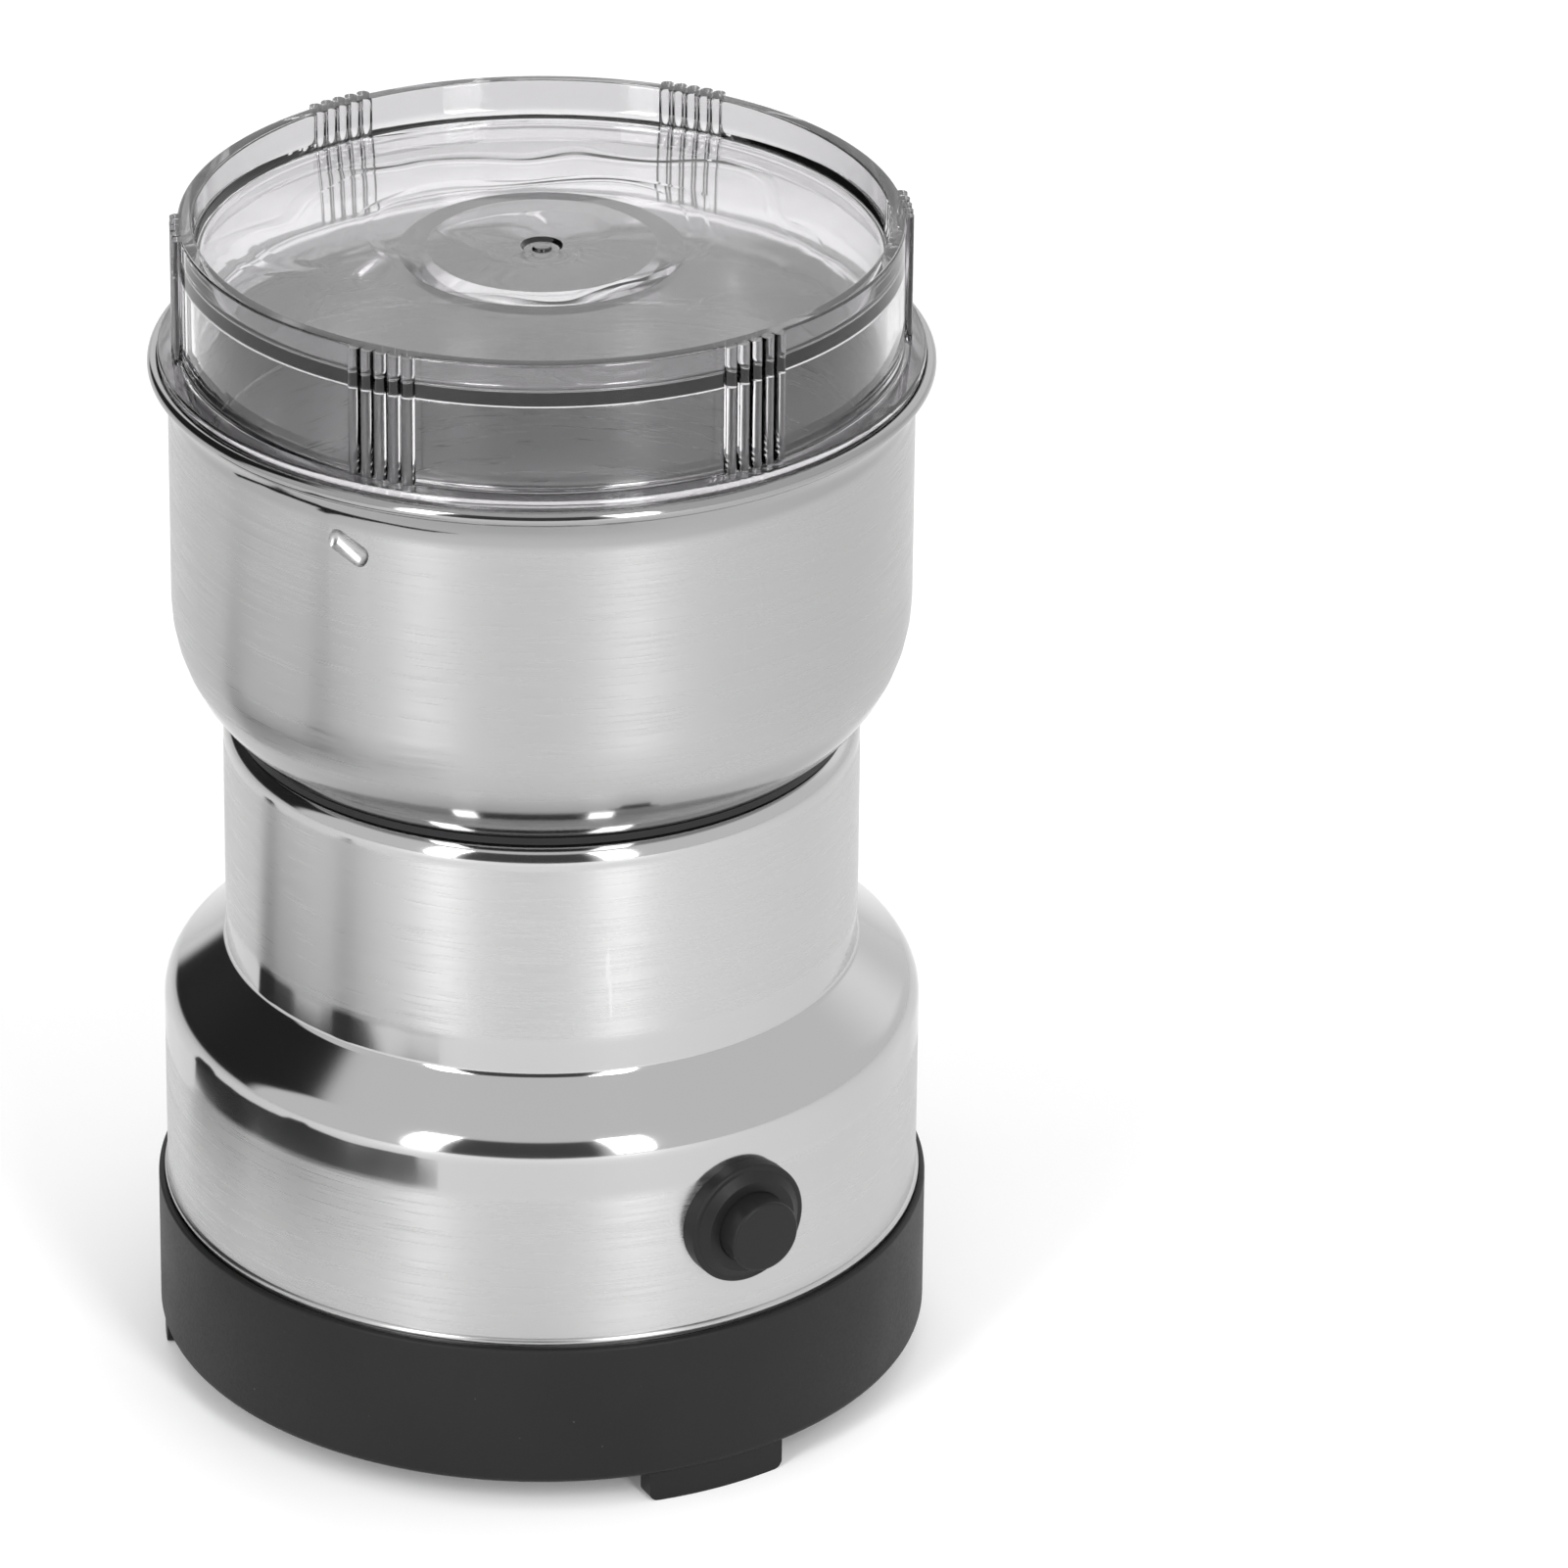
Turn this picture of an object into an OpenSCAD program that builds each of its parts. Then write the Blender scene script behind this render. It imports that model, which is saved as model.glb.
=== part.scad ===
// Electric spice grinder: a steel bowl with a clear lid on a steel body, a plastic base,
// a push button in front and a motor that turns a two winged blade.
// The origin is on the floor under the axis, +Z is up and the button faces -Y.

/* [Base] */
// Height of the plastic base without its feet
base_h = 20.5; // [18:0.5:26]
// Thickness of the base wall
base_wall = 2.6; // [2.2:0.1:3.2]
// Thickness of the base floor
base_floor = 2.5; // [1.5:0.1:4]
// Rounding of the lower edge of the base
base_edge_round = 1.2; // [0.4:0.1:2]
// Height of the base lip that stands outside the steel body
lip_h = 4; // [2.5:0.1:6]
// Gap between the base lip and the steel body
lip_gap = 0.15; // [0.05:0.05:0.3]
// Thickness of the base lip
lip_t = 1.1; // [0.8:0.1:1.8]
// Height of a foot
foot_h = 4; // [2.5:0.1:6]
// Width of a foot along the edge of the base
foot_w = 20; // [14:0.5:28]
// Thickness of a foot from outside to inside
foot_t = 2.6; // [2:0.1:4]
// How far a foot stands back from the side of the base
foot_inset = 0.5; // [0.2:0.1:1]
// Rounding of the lower corners of a foot
foot_round = 1.2; // [0.4:0.1:2]
// Turn of the feet from the button
foot_turn = -3.7; // [-20:0.1:20]
// Number of feet
foot_count = 3; // [3:1:4]
// Radius of the cord inlet's bore
inlet_r = 3.1; // [2.5:0.1:3.6]
// Height of the cord inlet above the underside of the base
inlet_up = 10; // [8:0.5:12]

/* [Steel body] */
// Radius of the lower steel body
shell_r = 51.05; // [46:0.05:56]
// Thickness of the steel sheet
sheet = 0.8; // [0.5:0.1:1]
// Height of the straight lower wall above the base
shell_h = 29.5; // [26:0.5:36]
// Height of the sloping shoulder
shoulder_h = 6.6; // [5:0.1:9]
// Rounding of the bend over the lower wall
shoulder_round = 5.1; // [2:0.1:7]
// Width of the sloping shoulder
shoulder_w = 8.45; // [7:0.05:9]
// Height of the neck
neck_h = 33.4; // [32:0.1:40]
// Rounding where the shoulder meets the neck
neck_root_round = 1.2; // [0.5:0.1:2.5]
// Rounding of the upper edge of the neck
neck_top_round = 2.7; // [1.5:0.1:3.5]
// Width of the flat edge turned in at the top of the neck
neck_edge_w = 5.1; // [4:0.1:5.5]

/* [Bowl] */
// How far the black collar stands back from the neck
collar_inset = 1.2; // [0.8:0.1:3]
// Thickness of the black collar under the bowl
collar_h = 1; // [0.6:0.1:2]
// How far the bowl wall stands back from the lower steel body
bowl_inset = 1.85; // [1:0.05:4]
// Height of the bowl from its floor to the middle of its rolled rim
bowl_h = 50.2; // [46:0.1:60]
// Width of the bowl's sloping corner
bowl_slope_w = 7.8; // [6:0.1:9]
// Height of the bowl's sloping corner
bowl_slope_h = 7.2; // [6:0.1:9]
// Rounding between the floor and the sloping corner
bowl_floor_round = 2.2; // [1.2:0.1:2.4]
// Rounding between the sloping corner and the wall
bowl_corner_round = 21.4; // [14:0.1:21.5]
// How far the rolled rim stands out from the wall
rim_out = 2.65; // [2.2:0.05:3]
// Radius of the roll of the rim
rim_bead = 1; // [0.8:0.05:1.2]
// Height over which the wall flares out to the rim
flare_h = 3.4; // [2.5:0.1:5]
// Number of pressed dents in the bowl wall
dent_count = 3; // [2:1:4]
// Length of a pressed dent in the bowl wall
dent_l = 5.2; // [3:0.1:8]
// Radius of the tool that pressed the dents
dent_r = 1.3; // [1:0.1:2]
// How deep a dent is pressed
dent_depth = 1; // [0.6:0.1:1.2]
// Height of the dents under the middle of the rim
dent_down = 8; // [7:0.1:12]
// Slant of the dents
dent_slant = 25; // [0:1:40]
// Turn of the dents from the button
dent_turn = -61.2; // [-70:0.1:-50]

/* [Lid] */
// How far the lid wall stands back from the bowl wall
lid_inset = 1.6; // [1:0.1:2.2]
// Height of the lid over its flange
lid_h = 18.6; // [15:0.1:26]
// Thickness of the lid rim over the panel
lid_rim_t = 2; // [1.5:0.1:2.5]
// Depth of the lid panel under the rim
panel_down = 4.7; // [3:0.1:7]
// Thickness of the lid panel
panel_t = 1.7; // [1.2:0.1:2.5]
// Radius of the raised disc in the panel
disc_r = 16.9; // [12:0.1:22]
// Height of the raised disc
disc_h = 0.7; // [0.3:0.1:1.2]
// Radius of the moulding mark in the middle of the lid
gate_r = 2.8; // [2:0.1:4]
// How far the lid flange ends inside the rolled rim
flange_inset = 1.35; // [0.9:0.05:1.8]
// Thickness of the lid flange
flange_t = 1; // [0.8:0.1:1.5]
// Depth of the lid skirt inside the bowl
skirt_h = 15.4; // [12:0.1:20]
// Thickness of the lid skirt
skirt_t = 1.6; // [1.2:0.1:2]
// Gap between the lid skirt and the bowl wall
skirt_gap = 1.5; // [1.4:0.1:1.8]
// Height of a slanted lug on the lid skirt
lug_h = 1.8; // [1.2:0.1:3]
// Number of groups of grip ribs
grip_groups = 6; // [3:1:8]
// Number of ribs in a group
grip_ribs = 5; // [3:1:7]
// Distance from one rib to the next
rib_pitch = 1.9; // [1.8:0.05:2.4]
// Radius of a rib
rib_r = 0.85; // [0.6:0.05:0.9]
// Turn of the rib groups from the button
grip_turn = 3.7; // [-20:0.1:20]

/* [Button] */
// Height of the button above the base
button_up = 15.5; // [14:0.1:18]
// Radius of the flange of the button housing
bezel_r = 8.5; // [8.2:0.1:9.5]
// Thickness of the flange of the button housing
bezel_t = 1.95; // [1.2:0.05:3]
// Height of the cone on the button housing
bezel_cone_h = 0.9; // [0.4:0.1:1.5]
// Radius of the flat top of the cone
bezel_top_r = 6.5; // [6:0.1:7]
// Radius of the barrel behind the flange
barrel_r = 7.3; // [7.2:0.1:7.6]
// Radius of the button
button_r = 5; // [4:0.1:5.2]
// Distance from the button's face to the steel body
button_out = 6.35; // [5.5:0.05:8]
// Travel of the button
button_travel = 2.5; // [1.5:0.1:2.8]

/* [Blade] */
// Radius swept by the blade
blade_r = 34; // [26:0.5:37]
// Width of a wing of the blade
blade_w = 11; // [8:0.5:14]
// Thickness of the blade
blade_t = 1.5; // [1:0.1:2]
// Height of the blade over the bowl floor
blade_up = 6.8; // [6.4:0.1:9]
// Distance from the axis to the bends of the wings
blade_bend_r = 13; // [10:0.5:16]
// Upward bend of one wing
wing_up = 20; // [5:1:30]
// Downward bend of the other wing
wing_down = 10; // [0:1:11]

/* [Motor] */
// Radius of the motor shaft
shaft_r = 3; // [2.5:0.1:3.5]
// Height of the stack of the motor
stack_h = 24; // [18:0.5:26]
// Distance from the top of the neck to the stack
stack_down = 16; // [15.5:0.5:20]
// Gap between the stack and the legs of the top bracket
stack_gap = 1.5; // [0.5:0.1:3]
// How far the sides of the stack are cut back from its corners
stack_side = 2; // [1:0.1:3.5]
// How far the front and back of the stack are cut back from its corners
stack_front = 3.5; // [2:0.1:5]
// Radius of the commutator
commutator_r = 8; // [7:0.1:8.5]
// Height of the commutator
commutator_h = 9.5; // [8:0.1:11]
// Number of slots in the armature and of bars on the commutator
slot_count = 10; // [8:1:12]
// Radius of the cooling fan
fan_r = 20; // [14:0.5:24]
// Height of the cooling fan
fan_h = 8; // [6:0.5:9]
// Number of blades of the cooling fan
fan_blades = 9; // [5:1:12]

/* [Hidden] */
$fn = 96;

// Overrun of every cut
cut = 1;
// Largest angle between two points of a large rounding
arc_step = 8;
// Largest angle between two points of a small rounding
small_arc_step = 30;
// Radius under which a rounding counts as small
small_round = 1.5;
// Gap between pieces that rest on each other but come apart
seat_gap = 0.2;
// Gap round a turning shaft or a sliding stem
run_gap = 0.06;
// Gap round a piece that is pushed into its place
push_gap = 0.05;

// Radii of the stacked outer parts
base_r = shell_r + lip_gap + lip_t;
neck_r = shell_r - shoulder_w;
neck_open_r = neck_r - neck_edge_w;
collar_r = neck_r - collar_inset;
bowl_r = shell_r - bowl_inset;
bowl_floor_r = bowl_r - bowl_slope_w;
rim_r = bowl_r + rim_out;
lid_r = bowl_r - lid_inset;
flange_r = rim_r - flange_inset;

// Heights of the stacked outer parts
base_top = foot_h + base_h;
floor_top = foot_h + base_floor;
ledge_z = base_top - lip_h;
shoulder_z = base_top + shell_h;
neck_z = shoulder_z + shoulder_h;
neck_top = neck_z + neck_h;
bowl_z = neck_top + collar_h;
bowl_floor_z = bowl_z + sheet;
rim_z = bowl_z + bowl_h;
lid_z = rim_z + rim_bead + seat_gap;
lid_top = lid_z + lid_h;
button_z = base_top + button_up;

// Hem bead round the steel body, just over the base
hem_r = 0.5;
hem_out = 0.4;
hem_z = base_top + seat_gap + hem_r;

// Tie screws that pull the base, the body and the top bracket together
tie_count = 3;
tie_turn = 60;
tie_r = 1.9;
tie_head_r = 3.6;
tie_head_h = 2.6;
tie_hole_r = tie_r + 0.15 * tie_r;
tie_post_r = 5;
tie_leg_r = 4;
tie_edge = 0.7;
tie_place_r = neck_open_r - 2 * lip_gap - tie_leg_r - tie_edge;
tie_head_room = 0.2;
tie_seat_z = foot_h + 3 * base_floor;
tie_post_top = base_top + shell_h - tie_post_r;
tie_thread_l = 20;

// Vent slots in the floor of the base
vent_count = 16;
vent_l = 12;
vent_w = 2.2;
vent_r = 18;

// Rubber bush of the cord inlet
gland_r = 5.2;
gland_lip_r = 6.2;
gland_lip_t = 1;
gland_z = foot_h + inlet_up;
gland_seat_y = sqrt(pow(base_r - base_wall, 2) - pow(gland_lip_r, 2)) - push_gap;
gland_inner_y = gland_seat_y - gland_lip_t;
gland_face_y = base_r + push_gap;
gland_sleeve_l = 3.6;
gland_sleeve_r = 4.7;
gland_out_y = gland_face_y + gland_sleeve_l;

// Top bracket of the motor
bracket_r = neck_open_r - 2 * lip_gap;
bracket_plate_t = 3;
bracket_skirt_h = 5;
bracket_skirt_t = 2;
bracket_under = neck_top - bracket_plate_t;
bracket_ribs = 6;
bracket_rib_t = 2;
bracket_rib_h = 4;
bearing_boss_r = 9;
bush_r = 6;
bush_h = 6;
bush_up_z = neck_top - 1.2 * bush_h;
bush_shoulder = 0.5;

// Motor stack, its windings and the pieces on the shaft
stack_top = neck_top - stack_down;
stack_z = stack_top - stack_h;
stack_r = tie_place_r - tie_leg_r - stack_gap;
stack_w = 2 * (stack_r - stack_side);
stack_d = 2 * (stack_r - stack_front);
bolt_edge = 2.96;
bolt_post_r = 3;
coil_gap = 0.3;
coil_room = 0.34;
coil_out_r = stack_r - bolt_edge - bolt_post_r - coil_room;
armature_share = 0.6184;
armature_r = armature_share * coil_out_r;
air_gap = 0.5;
pole_shoe_share = 0.145;
pole_shoe_t = pole_shoe_share * coil_out_r;
pole_bore_r = armature_r + air_gap;
coil_in_r = pole_bore_r + pole_shoe_t + air_gap;
pole_half_angle = 58;
coil_over = 6;
coil_half_angle = 56;
coil_window_angle = 28;
pole_neck_gap = 0.39;
pole_neck_w = 2 * (coil_in_r * sin(coil_window_angle) - pole_neck_gap);
yoke_in_r = coil_out_r + coil_gap;
winding_over = 5;
winding_r = 0.88 * armature_r;
winding_hub_r = 1.3 * shaft_r;
slot_w = 2.4;
slot_in_r = 0.55 * armature_r;
commutator_gap = 1.5;
commutator_top = stack_z - winding_over - commutator_gap;
commutator_z = commutator_top - commutator_h;
riser_t = 1.4;
riser_r = commutator_r + riser_t;
bar_slit_w = 0.5;
bar_slit_d = 1.2;

// Bottom bracket of the motor
frame_gap = 2;
frame_top = commutator_z - frame_gap;
frame_t = 3;
frame_z = frame_top - frame_t;
frame_side = 1;
frame_r = stack_r - frame_side;
bush_low_top = frame_top - frame_gap;
bush_low_z = bush_low_top - bush_h;

// Bolts through the stack
bolt_x = (stack_r - bolt_edge) * cos(45);
bolt_y = bolt_x;
bolt_r = 1.7;
bolt_head_r = 3.2;
bolt_head_h = 2.4;
bolt_l_over = 8;

// Brushes, their holders and springs
brush_z = commutator_z + 0.45 * commutator_h;
brush_w = 4.8;
brush_h = 5.8;
holder_t = 1;
holder_w = brush_w + 2 * push_gap + 2 * holder_t;
holder_h = brush_h + 2 * push_gap + 2 * holder_t;
holder_gap = 0.6;
holder_in = riser_r + holder_gap;
holder_out = frame_r - holder_t;
brush_tip = commutator_r + 2 * run_gap;
brush_share = 0.53;
brush_l = brush_share * (holder_out - brush_tip);
brush_back = brush_tip + brush_l;
brush_spring_r = 1.8;
brush_wire_r = 0.25;

// Thrust washers and fan
washer_t = 0.5;
washer_r = 5.4;
fan_gap = 5;
fan_plate_t = 1.2;
fan_blade_t = 1.3;
fan_hub_r = 6;
fan_z = bush_low_z - bush_shoulder - fan_gap - fan_h;
shaft_tail = 1;

// Seal round the shaft in the floor of the bowl
seal_r = 7;
seal_flange_r = 10.5;
seal_flange_t = 1.5;
seal_top_r = 5.2;
seal_down = 2;
seal_up = blade_up - 0.7 * seal_flange_t;

// Screws that hold the bowl
bowl_screw_count = 3;
bowl_screw_place_r = 17;
bowl_screw_r = 1.9;
bowl_screw_head_r = 3.4;
bowl_screw_head_h = 2;
bowl_screw_l = 8;
bowl_boss_r = 3.6;
bowl_boss_h = 5.5;
hole_gap = 0.3;

// Blade fixing at the end of the shaft
blade_z = bowl_floor_z + blade_up;
thread_r = 2.4;
blade_hub_r = 8;
blade_tip_w = 5;
blade_bend_round = 3;
edge_w = 2.4;
edge_t = 0.3;
blade_washer_r = 5.6;
blade_washer_t = 0.8;
nut_r = 4.6;
nut_h = 3.2;
nut_dome_r = 3.9;
nut_dome_h = 2.2;
thread_top = blade_z + blade_t + blade_washer_t + nut_h;

// Lid wall, skirt and lugs
skirt_r = bowl_r - sheet - skirt_gap;
lid_in_r = skirt_r - skirt_t;
skirt_z = lid_z - skirt_h;
flange_top = lid_z + flange_t;
panel_top = lid_top - panel_down;
panel_z = panel_top - panel_t;
lid_edge_round = 0.35;
lid_root_round = 0.7;
panel_root_round = 1.4;
disc_slope = 2.6;
disc_round = 1.6;
gate_depth = 1;
gate_nub_r = 0.8;
gate_nub_h = 0.5;
lug_out = 1;
lug_count = dent_count;
lug_angle = 22;
lug_back_turn = 27;
lug_turn = dent_turn - lug_back_turn;
rib_sink = 0.15;
rib_step = 2 * asin(rib_pitch / 2 / lid_r);

// Button housing, button and switch, as distances from the axis of the grinder
bezel_back = shell_r;
bezel_side = sqrt(pow(shell_r, 2) - pow(bezel_r, 2)) - seat_gap;
bezel_front = bezel_back + bezel_t;
bezel_top = bezel_front + bezel_cone_h;
bezel_edge = 0.4;
barrel_in_r = 6.2;
barrel_l = 13;
barrel_back = bezel_back - barrel_l;
barrel_stop = bezel_back + 0.2 * bezel_t;
shell_hole_r = barrel_r + hole_gap;
bezel_nut_r = 9.6;
bezel_nut_t = 3;
bezel_nut_out = sqrt(pow(shell_r - sheet, 2) - pow(bezel_nut_r, 2)) - push_gap;
button_face = shell_r + button_out;
button_round = 0.45;
button_rim_r = barrel_in_r - 2 * run_gap;
button_rim_t = 1.4;
button_rim_top = barrel_stop - seat_gap;
button_rim_back = button_rim_top - button_rim_t;
stem_r = 2;
switch_plug_h = 3;
switch_front = barrel_back + switch_plug_h;
switch_l = 11;
switch_back = barrel_back - switch_l;
switch_wall = 1.6;
switch_plate = 2;
chamber_front = barrel_back - switch_plate / 2;
chamber_back = switch_back + switch_plate;
bridge_t = 0.6;
bridge_l = 9;
bridge_w = 3;
bridge_rest = chamber_front - seat_gap - bridge_t;
contact_x = 3.4;
contact_w = 3;
contact_t = 0.8;
contact_top = bridge_rest - button_travel - seat_gap;
contact_tail = 5;
contact_room = 2;
contact_back = switch_back - contact_tail;
frame_d = 2 * (contact_back - contact_room);
spring_r = 4.2;
spring_wire_r = 0.4;

// Insulated leads inside the body
lead_r = 0.9;
lead_share = 0.857;
lead_turn = 180 + lead_share * coil_half_angle;

// Direction of length one
function unit(v) = v / norm(v);

// A flat vector turned a quarter turn to the left
function left_of(v) = [-v[1], v[0]];

// A flat vector turned by an angle
function turned(v, a) = [v[0] * cos(a) - v[1] * sin(a), v[0] * sin(a) + v[1] * cos(a)];

// Positive where b lies to the left of a
function side_of(a, b) = a[0] * b[1] - a[1] * b[0];

// First two numbers of a point
function flat(p) = [p[0], p[1]];

// Same list from its end to its start
function reversed(list) = [for (i = [len(list) - 1:-1:0]) list[i]];

// Points of the corner b between a and c, rounded by radius r
function corner(a, b, c, r) =
    r == 0 ? [b] :
    let (u = unit(a - b), v = unit(c - b), half = acos(u * v) / 2)
    let (centre = b + unit(u + v) * r / sin(half))
    let (start = b + u * r / tan(half) - centre, sweep = 180 - 2 * half)
    let (steps = max(2, ceil(sweep / (r < small_round ? small_arc_step : arc_step))))
    let (way = side_of(u, v) > 0 ? -1 : 1)
    [for (i = [0:steps]) centre + turned(start, way * sweep * i / steps)];

// Outline through points [radius, height, rounding]
function rounded(path) =
    let (n = len(path))
    [for (i = [0:n - 1])
        each corner(flat(path[(i + n - 1) % n]), flat(path[i]), flat(path[(i + 1) % n]), path[i][2])];

// Open outline moved to its left by d, with its roundings kept concentric
function moved_left(path, d) =
    let (last = len(path) - 1)
    [for (i = [0:last])
        let (before = unit(flat(path[max(i, 1)]) - flat(path[max(i, 1) - 1])))
        let (after = unit(flat(path[min(i, last - 1) + 1]) - flat(path[min(i, last - 1)])))
        let (a = left_of(before), b = left_of(after), r = path[i][2])
        let (place = flat(path[i]) + (a + b) * d / (1 + a * b))
        [place[0], place[1], r == 0 ? 0 : side_of(before, after) > 0 ? r - d : r + d]];

// Bent sheet between an open outline and the same outline moved to its left
module sheet_outline(path, t) {
    polygon(concat(rounded(path), reversed(rounded(moved_left(path, t)))));
}

// Tube of some sides along points, closed at both ends
module tube(points, r, sides) {
    last = len(points) - 1;
    rings = [for (i = [0:last])
        let (way = unit(points[min(i + 1, last)] - points[max(i - 1, 0)]))
        let (across = unit(cross(way, abs(way[2]) > 0.9 ? [1, 0, 0] : [0, 0, 1])))
        let (over = cross(across, way))
        for (k = [0:sides - 1])
            points[i] + r * (across * cos(360 * k / sides) + over * sin(360 * k / sides))];
    walls = [for (i = [0:last - 1]) for (k = [0:sides - 1])
        let (a = i * sides + k, b = i * sides + (k + 1) % sides)
        each [[a, b, b + sides], [a, b + sides, a + sides]]];
    start = [[for (k = [sides - 1:-1:0]) k]];
    end = [[for (k = [0:sides - 1]) last * sides + k]];
    polyhedron(points = rings, faces = concat(walls, start, end));
}

// Wire wound round the Z axis between two heights
module spring(r, wire_r, low, high, turns, steps_per_turn) {
    count = turns * steps_per_turn;
    tube([for (i = [0:count])
        let (a = 360 * i / steps_per_turn)
        [r * cos(a), r * sin(a), low + wire_r + (high - low - 2 * wire_r) * i / count]],
        wire_r, 6);
}

// Ring sector round the Z axis, centred on +X
module sector(r_in, r_out, low, high, half_angle) {
    rotate([0, 0, -half_angle])
        rotate_extrude(angle = 2 * half_angle)
            translate([r_in, low])
                square([r_out - r_in, high - low]);
}

// Places children at an angle from the button, seen from above, counted towards +X
module at_angle(a) {
    rotate([0, 0, a - 90])
        children();
}

// Places children with their Z axis along the button's axis, pointing outwards
module on_button() {
    translate([0, 0, button_z])
        rotate([90, 0, 0])
            children();
}

// Places children at the tie screws
module at_ties() {
    for (i = [0:tie_count - 1])
        at_angle(tie_turn + i * 360 / tie_count)
            translate([tie_place_r, 0, 0])
                children();
}

// Places children at the four bolts of the motor
module at_bolts() {
    for (x = [-bolt_x, bolt_x])
        for (y = [-bolt_y, bolt_y])
            translate([x, y, 0])
                children();
}

// Places children at the screws of the bowl
module at_bowl_screws() {
    for (i = [0:bowl_screw_count - 1])
        at_angle(i * 360 / bowl_screw_count)
            translate([bowl_screw_place_r, 0, 0])
                children();
}

// Outline of one foot, seen from outside, on the floor and up into the base
module foot_outline() {
    half = foot_w / 2;
    polygon(rounded([[-half, 0, foot_round], [half, 0, foot_round],
                     [half, foot_h + base_floor / 2, 0], [-half, foot_h + base_floor / 2, 0]]));
}

module foot() {
    r = base_r - foot_inset;
    intersection() {
        rotate([90, 0, 90])
            linear_extrude(height = base_r)
                foot_outline();
        difference() {
            cylinder(r = r, h = foot_h + base_floor / 2);
            translate([0, 0, -cut])
                cylinder(r = r - foot_t, h = foot_h + base_floor + cut);
        }
    }
}

module base_cup() {
    wall_in = base_r - base_wall;
    lip_in = shell_r + lip_gap;
    color("#262628")
    difference() {
        union() {
            rotate_extrude()
                polygon(rounded([[0, foot_h, 0], [base_r, foot_h, base_edge_round],
                                 [base_r, base_top, lip_gap], [lip_in, base_top, 0],
                                 [lip_in, ledge_z, 0], [wall_in, ledge_z, 0],
                                 [wall_in, floor_top, base_edge_round], [0, floor_top, 0]]));
            for (i = [0:foot_count - 1])
                at_angle(foot_turn + i * 360 / foot_count)
                    foot();
            at_ties()
                translate([0, 0, foot_h + base_floor / 2])
                    cylinder(r = tie_post_r, h = tie_post_top - foot_h - base_floor / 2);
        }
        at_ties() {
            translate([0, 0, foot_h - cut])
                cylinder(r = tie_head_r + tie_head_room, h = tie_seat_z - foot_h + cut);
            translate([0, 0, tie_seat_z - cut])
                cylinder(r = tie_hole_r, h = tie_post_top - tie_seat_z + 2 * cut);
        }
        for (i = [0:vent_count - 1])
            rotate([0, 0, i * 360 / vent_count])
                translate([vent_r - vent_l / 2, -vent_w / 2, foot_h - cut])
                    cube([vent_l, vent_w, base_floor + 2 * cut]);
        translate([0, wall_in - cut, gland_z])
            rotate([-90, 0, 0])
                cylinder(r = gland_r, h = base_wall + 2 * cut);
    }
}

module base_screws() {
    color("#b8bcc0")
    at_ties()
        difference() {
            union() {
                translate([0, 0, tie_seat_z - tie_head_h])
                    cylinder(r = tie_head_r, h = tie_head_h);
                translate([0, 0, tie_seat_z])
                    cylinder(r = tie_r, h = tie_post_top + tie_thread_l - tie_seat_z);
            }
            for (a = [0, 90])
                rotate([0, 0, a])
                    translate([-tie_r, -tie_r / 4, tie_seat_z - tie_head_h - cut])
                        cube([2 * tie_r, tie_r / 2, tie_head_h / 2 + cut]);
        }
}

module cord_gland() {
    inner_r = gland_r - push_gap;
    color("#1b1b1d")
    translate([0, 0, gland_z])
        rotate([-90, 0, 0])
            rotate_extrude()
                polygon([[inlet_r, gland_inner_y], [gland_lip_r, gland_inner_y],
                         [gland_lip_r, gland_seat_y], [inner_r, gland_seat_y],
                         [inner_r, gland_face_y], [gland_lip_r, gland_face_y],
                         [gland_lip_r, gland_face_y + gland_lip_t], [gland_sleeve_r, gland_out_y],
                         [inlet_r, gland_out_y]]);
}

module body_shell() {
    color("#c9cbcd")
    difference() {
        rotate_extrude() {
            sheet_outline([[shell_r, ledge_z, 0], [shell_r, shoulder_z, shoulder_round],
                           [neck_r, neck_z, neck_root_round], [neck_r, neck_top, neck_top_round],
                           [neck_open_r, neck_top, 0]], sheet);
            translate([shell_r + hem_out - hem_r, hem_z])
                circle(r = hem_r);
        }
        on_button()
            translate([0, 0, shell_r - 3 * sheet])
                cylinder(r = shell_hole_r, h = 4 * sheet);
    }
}

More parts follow.
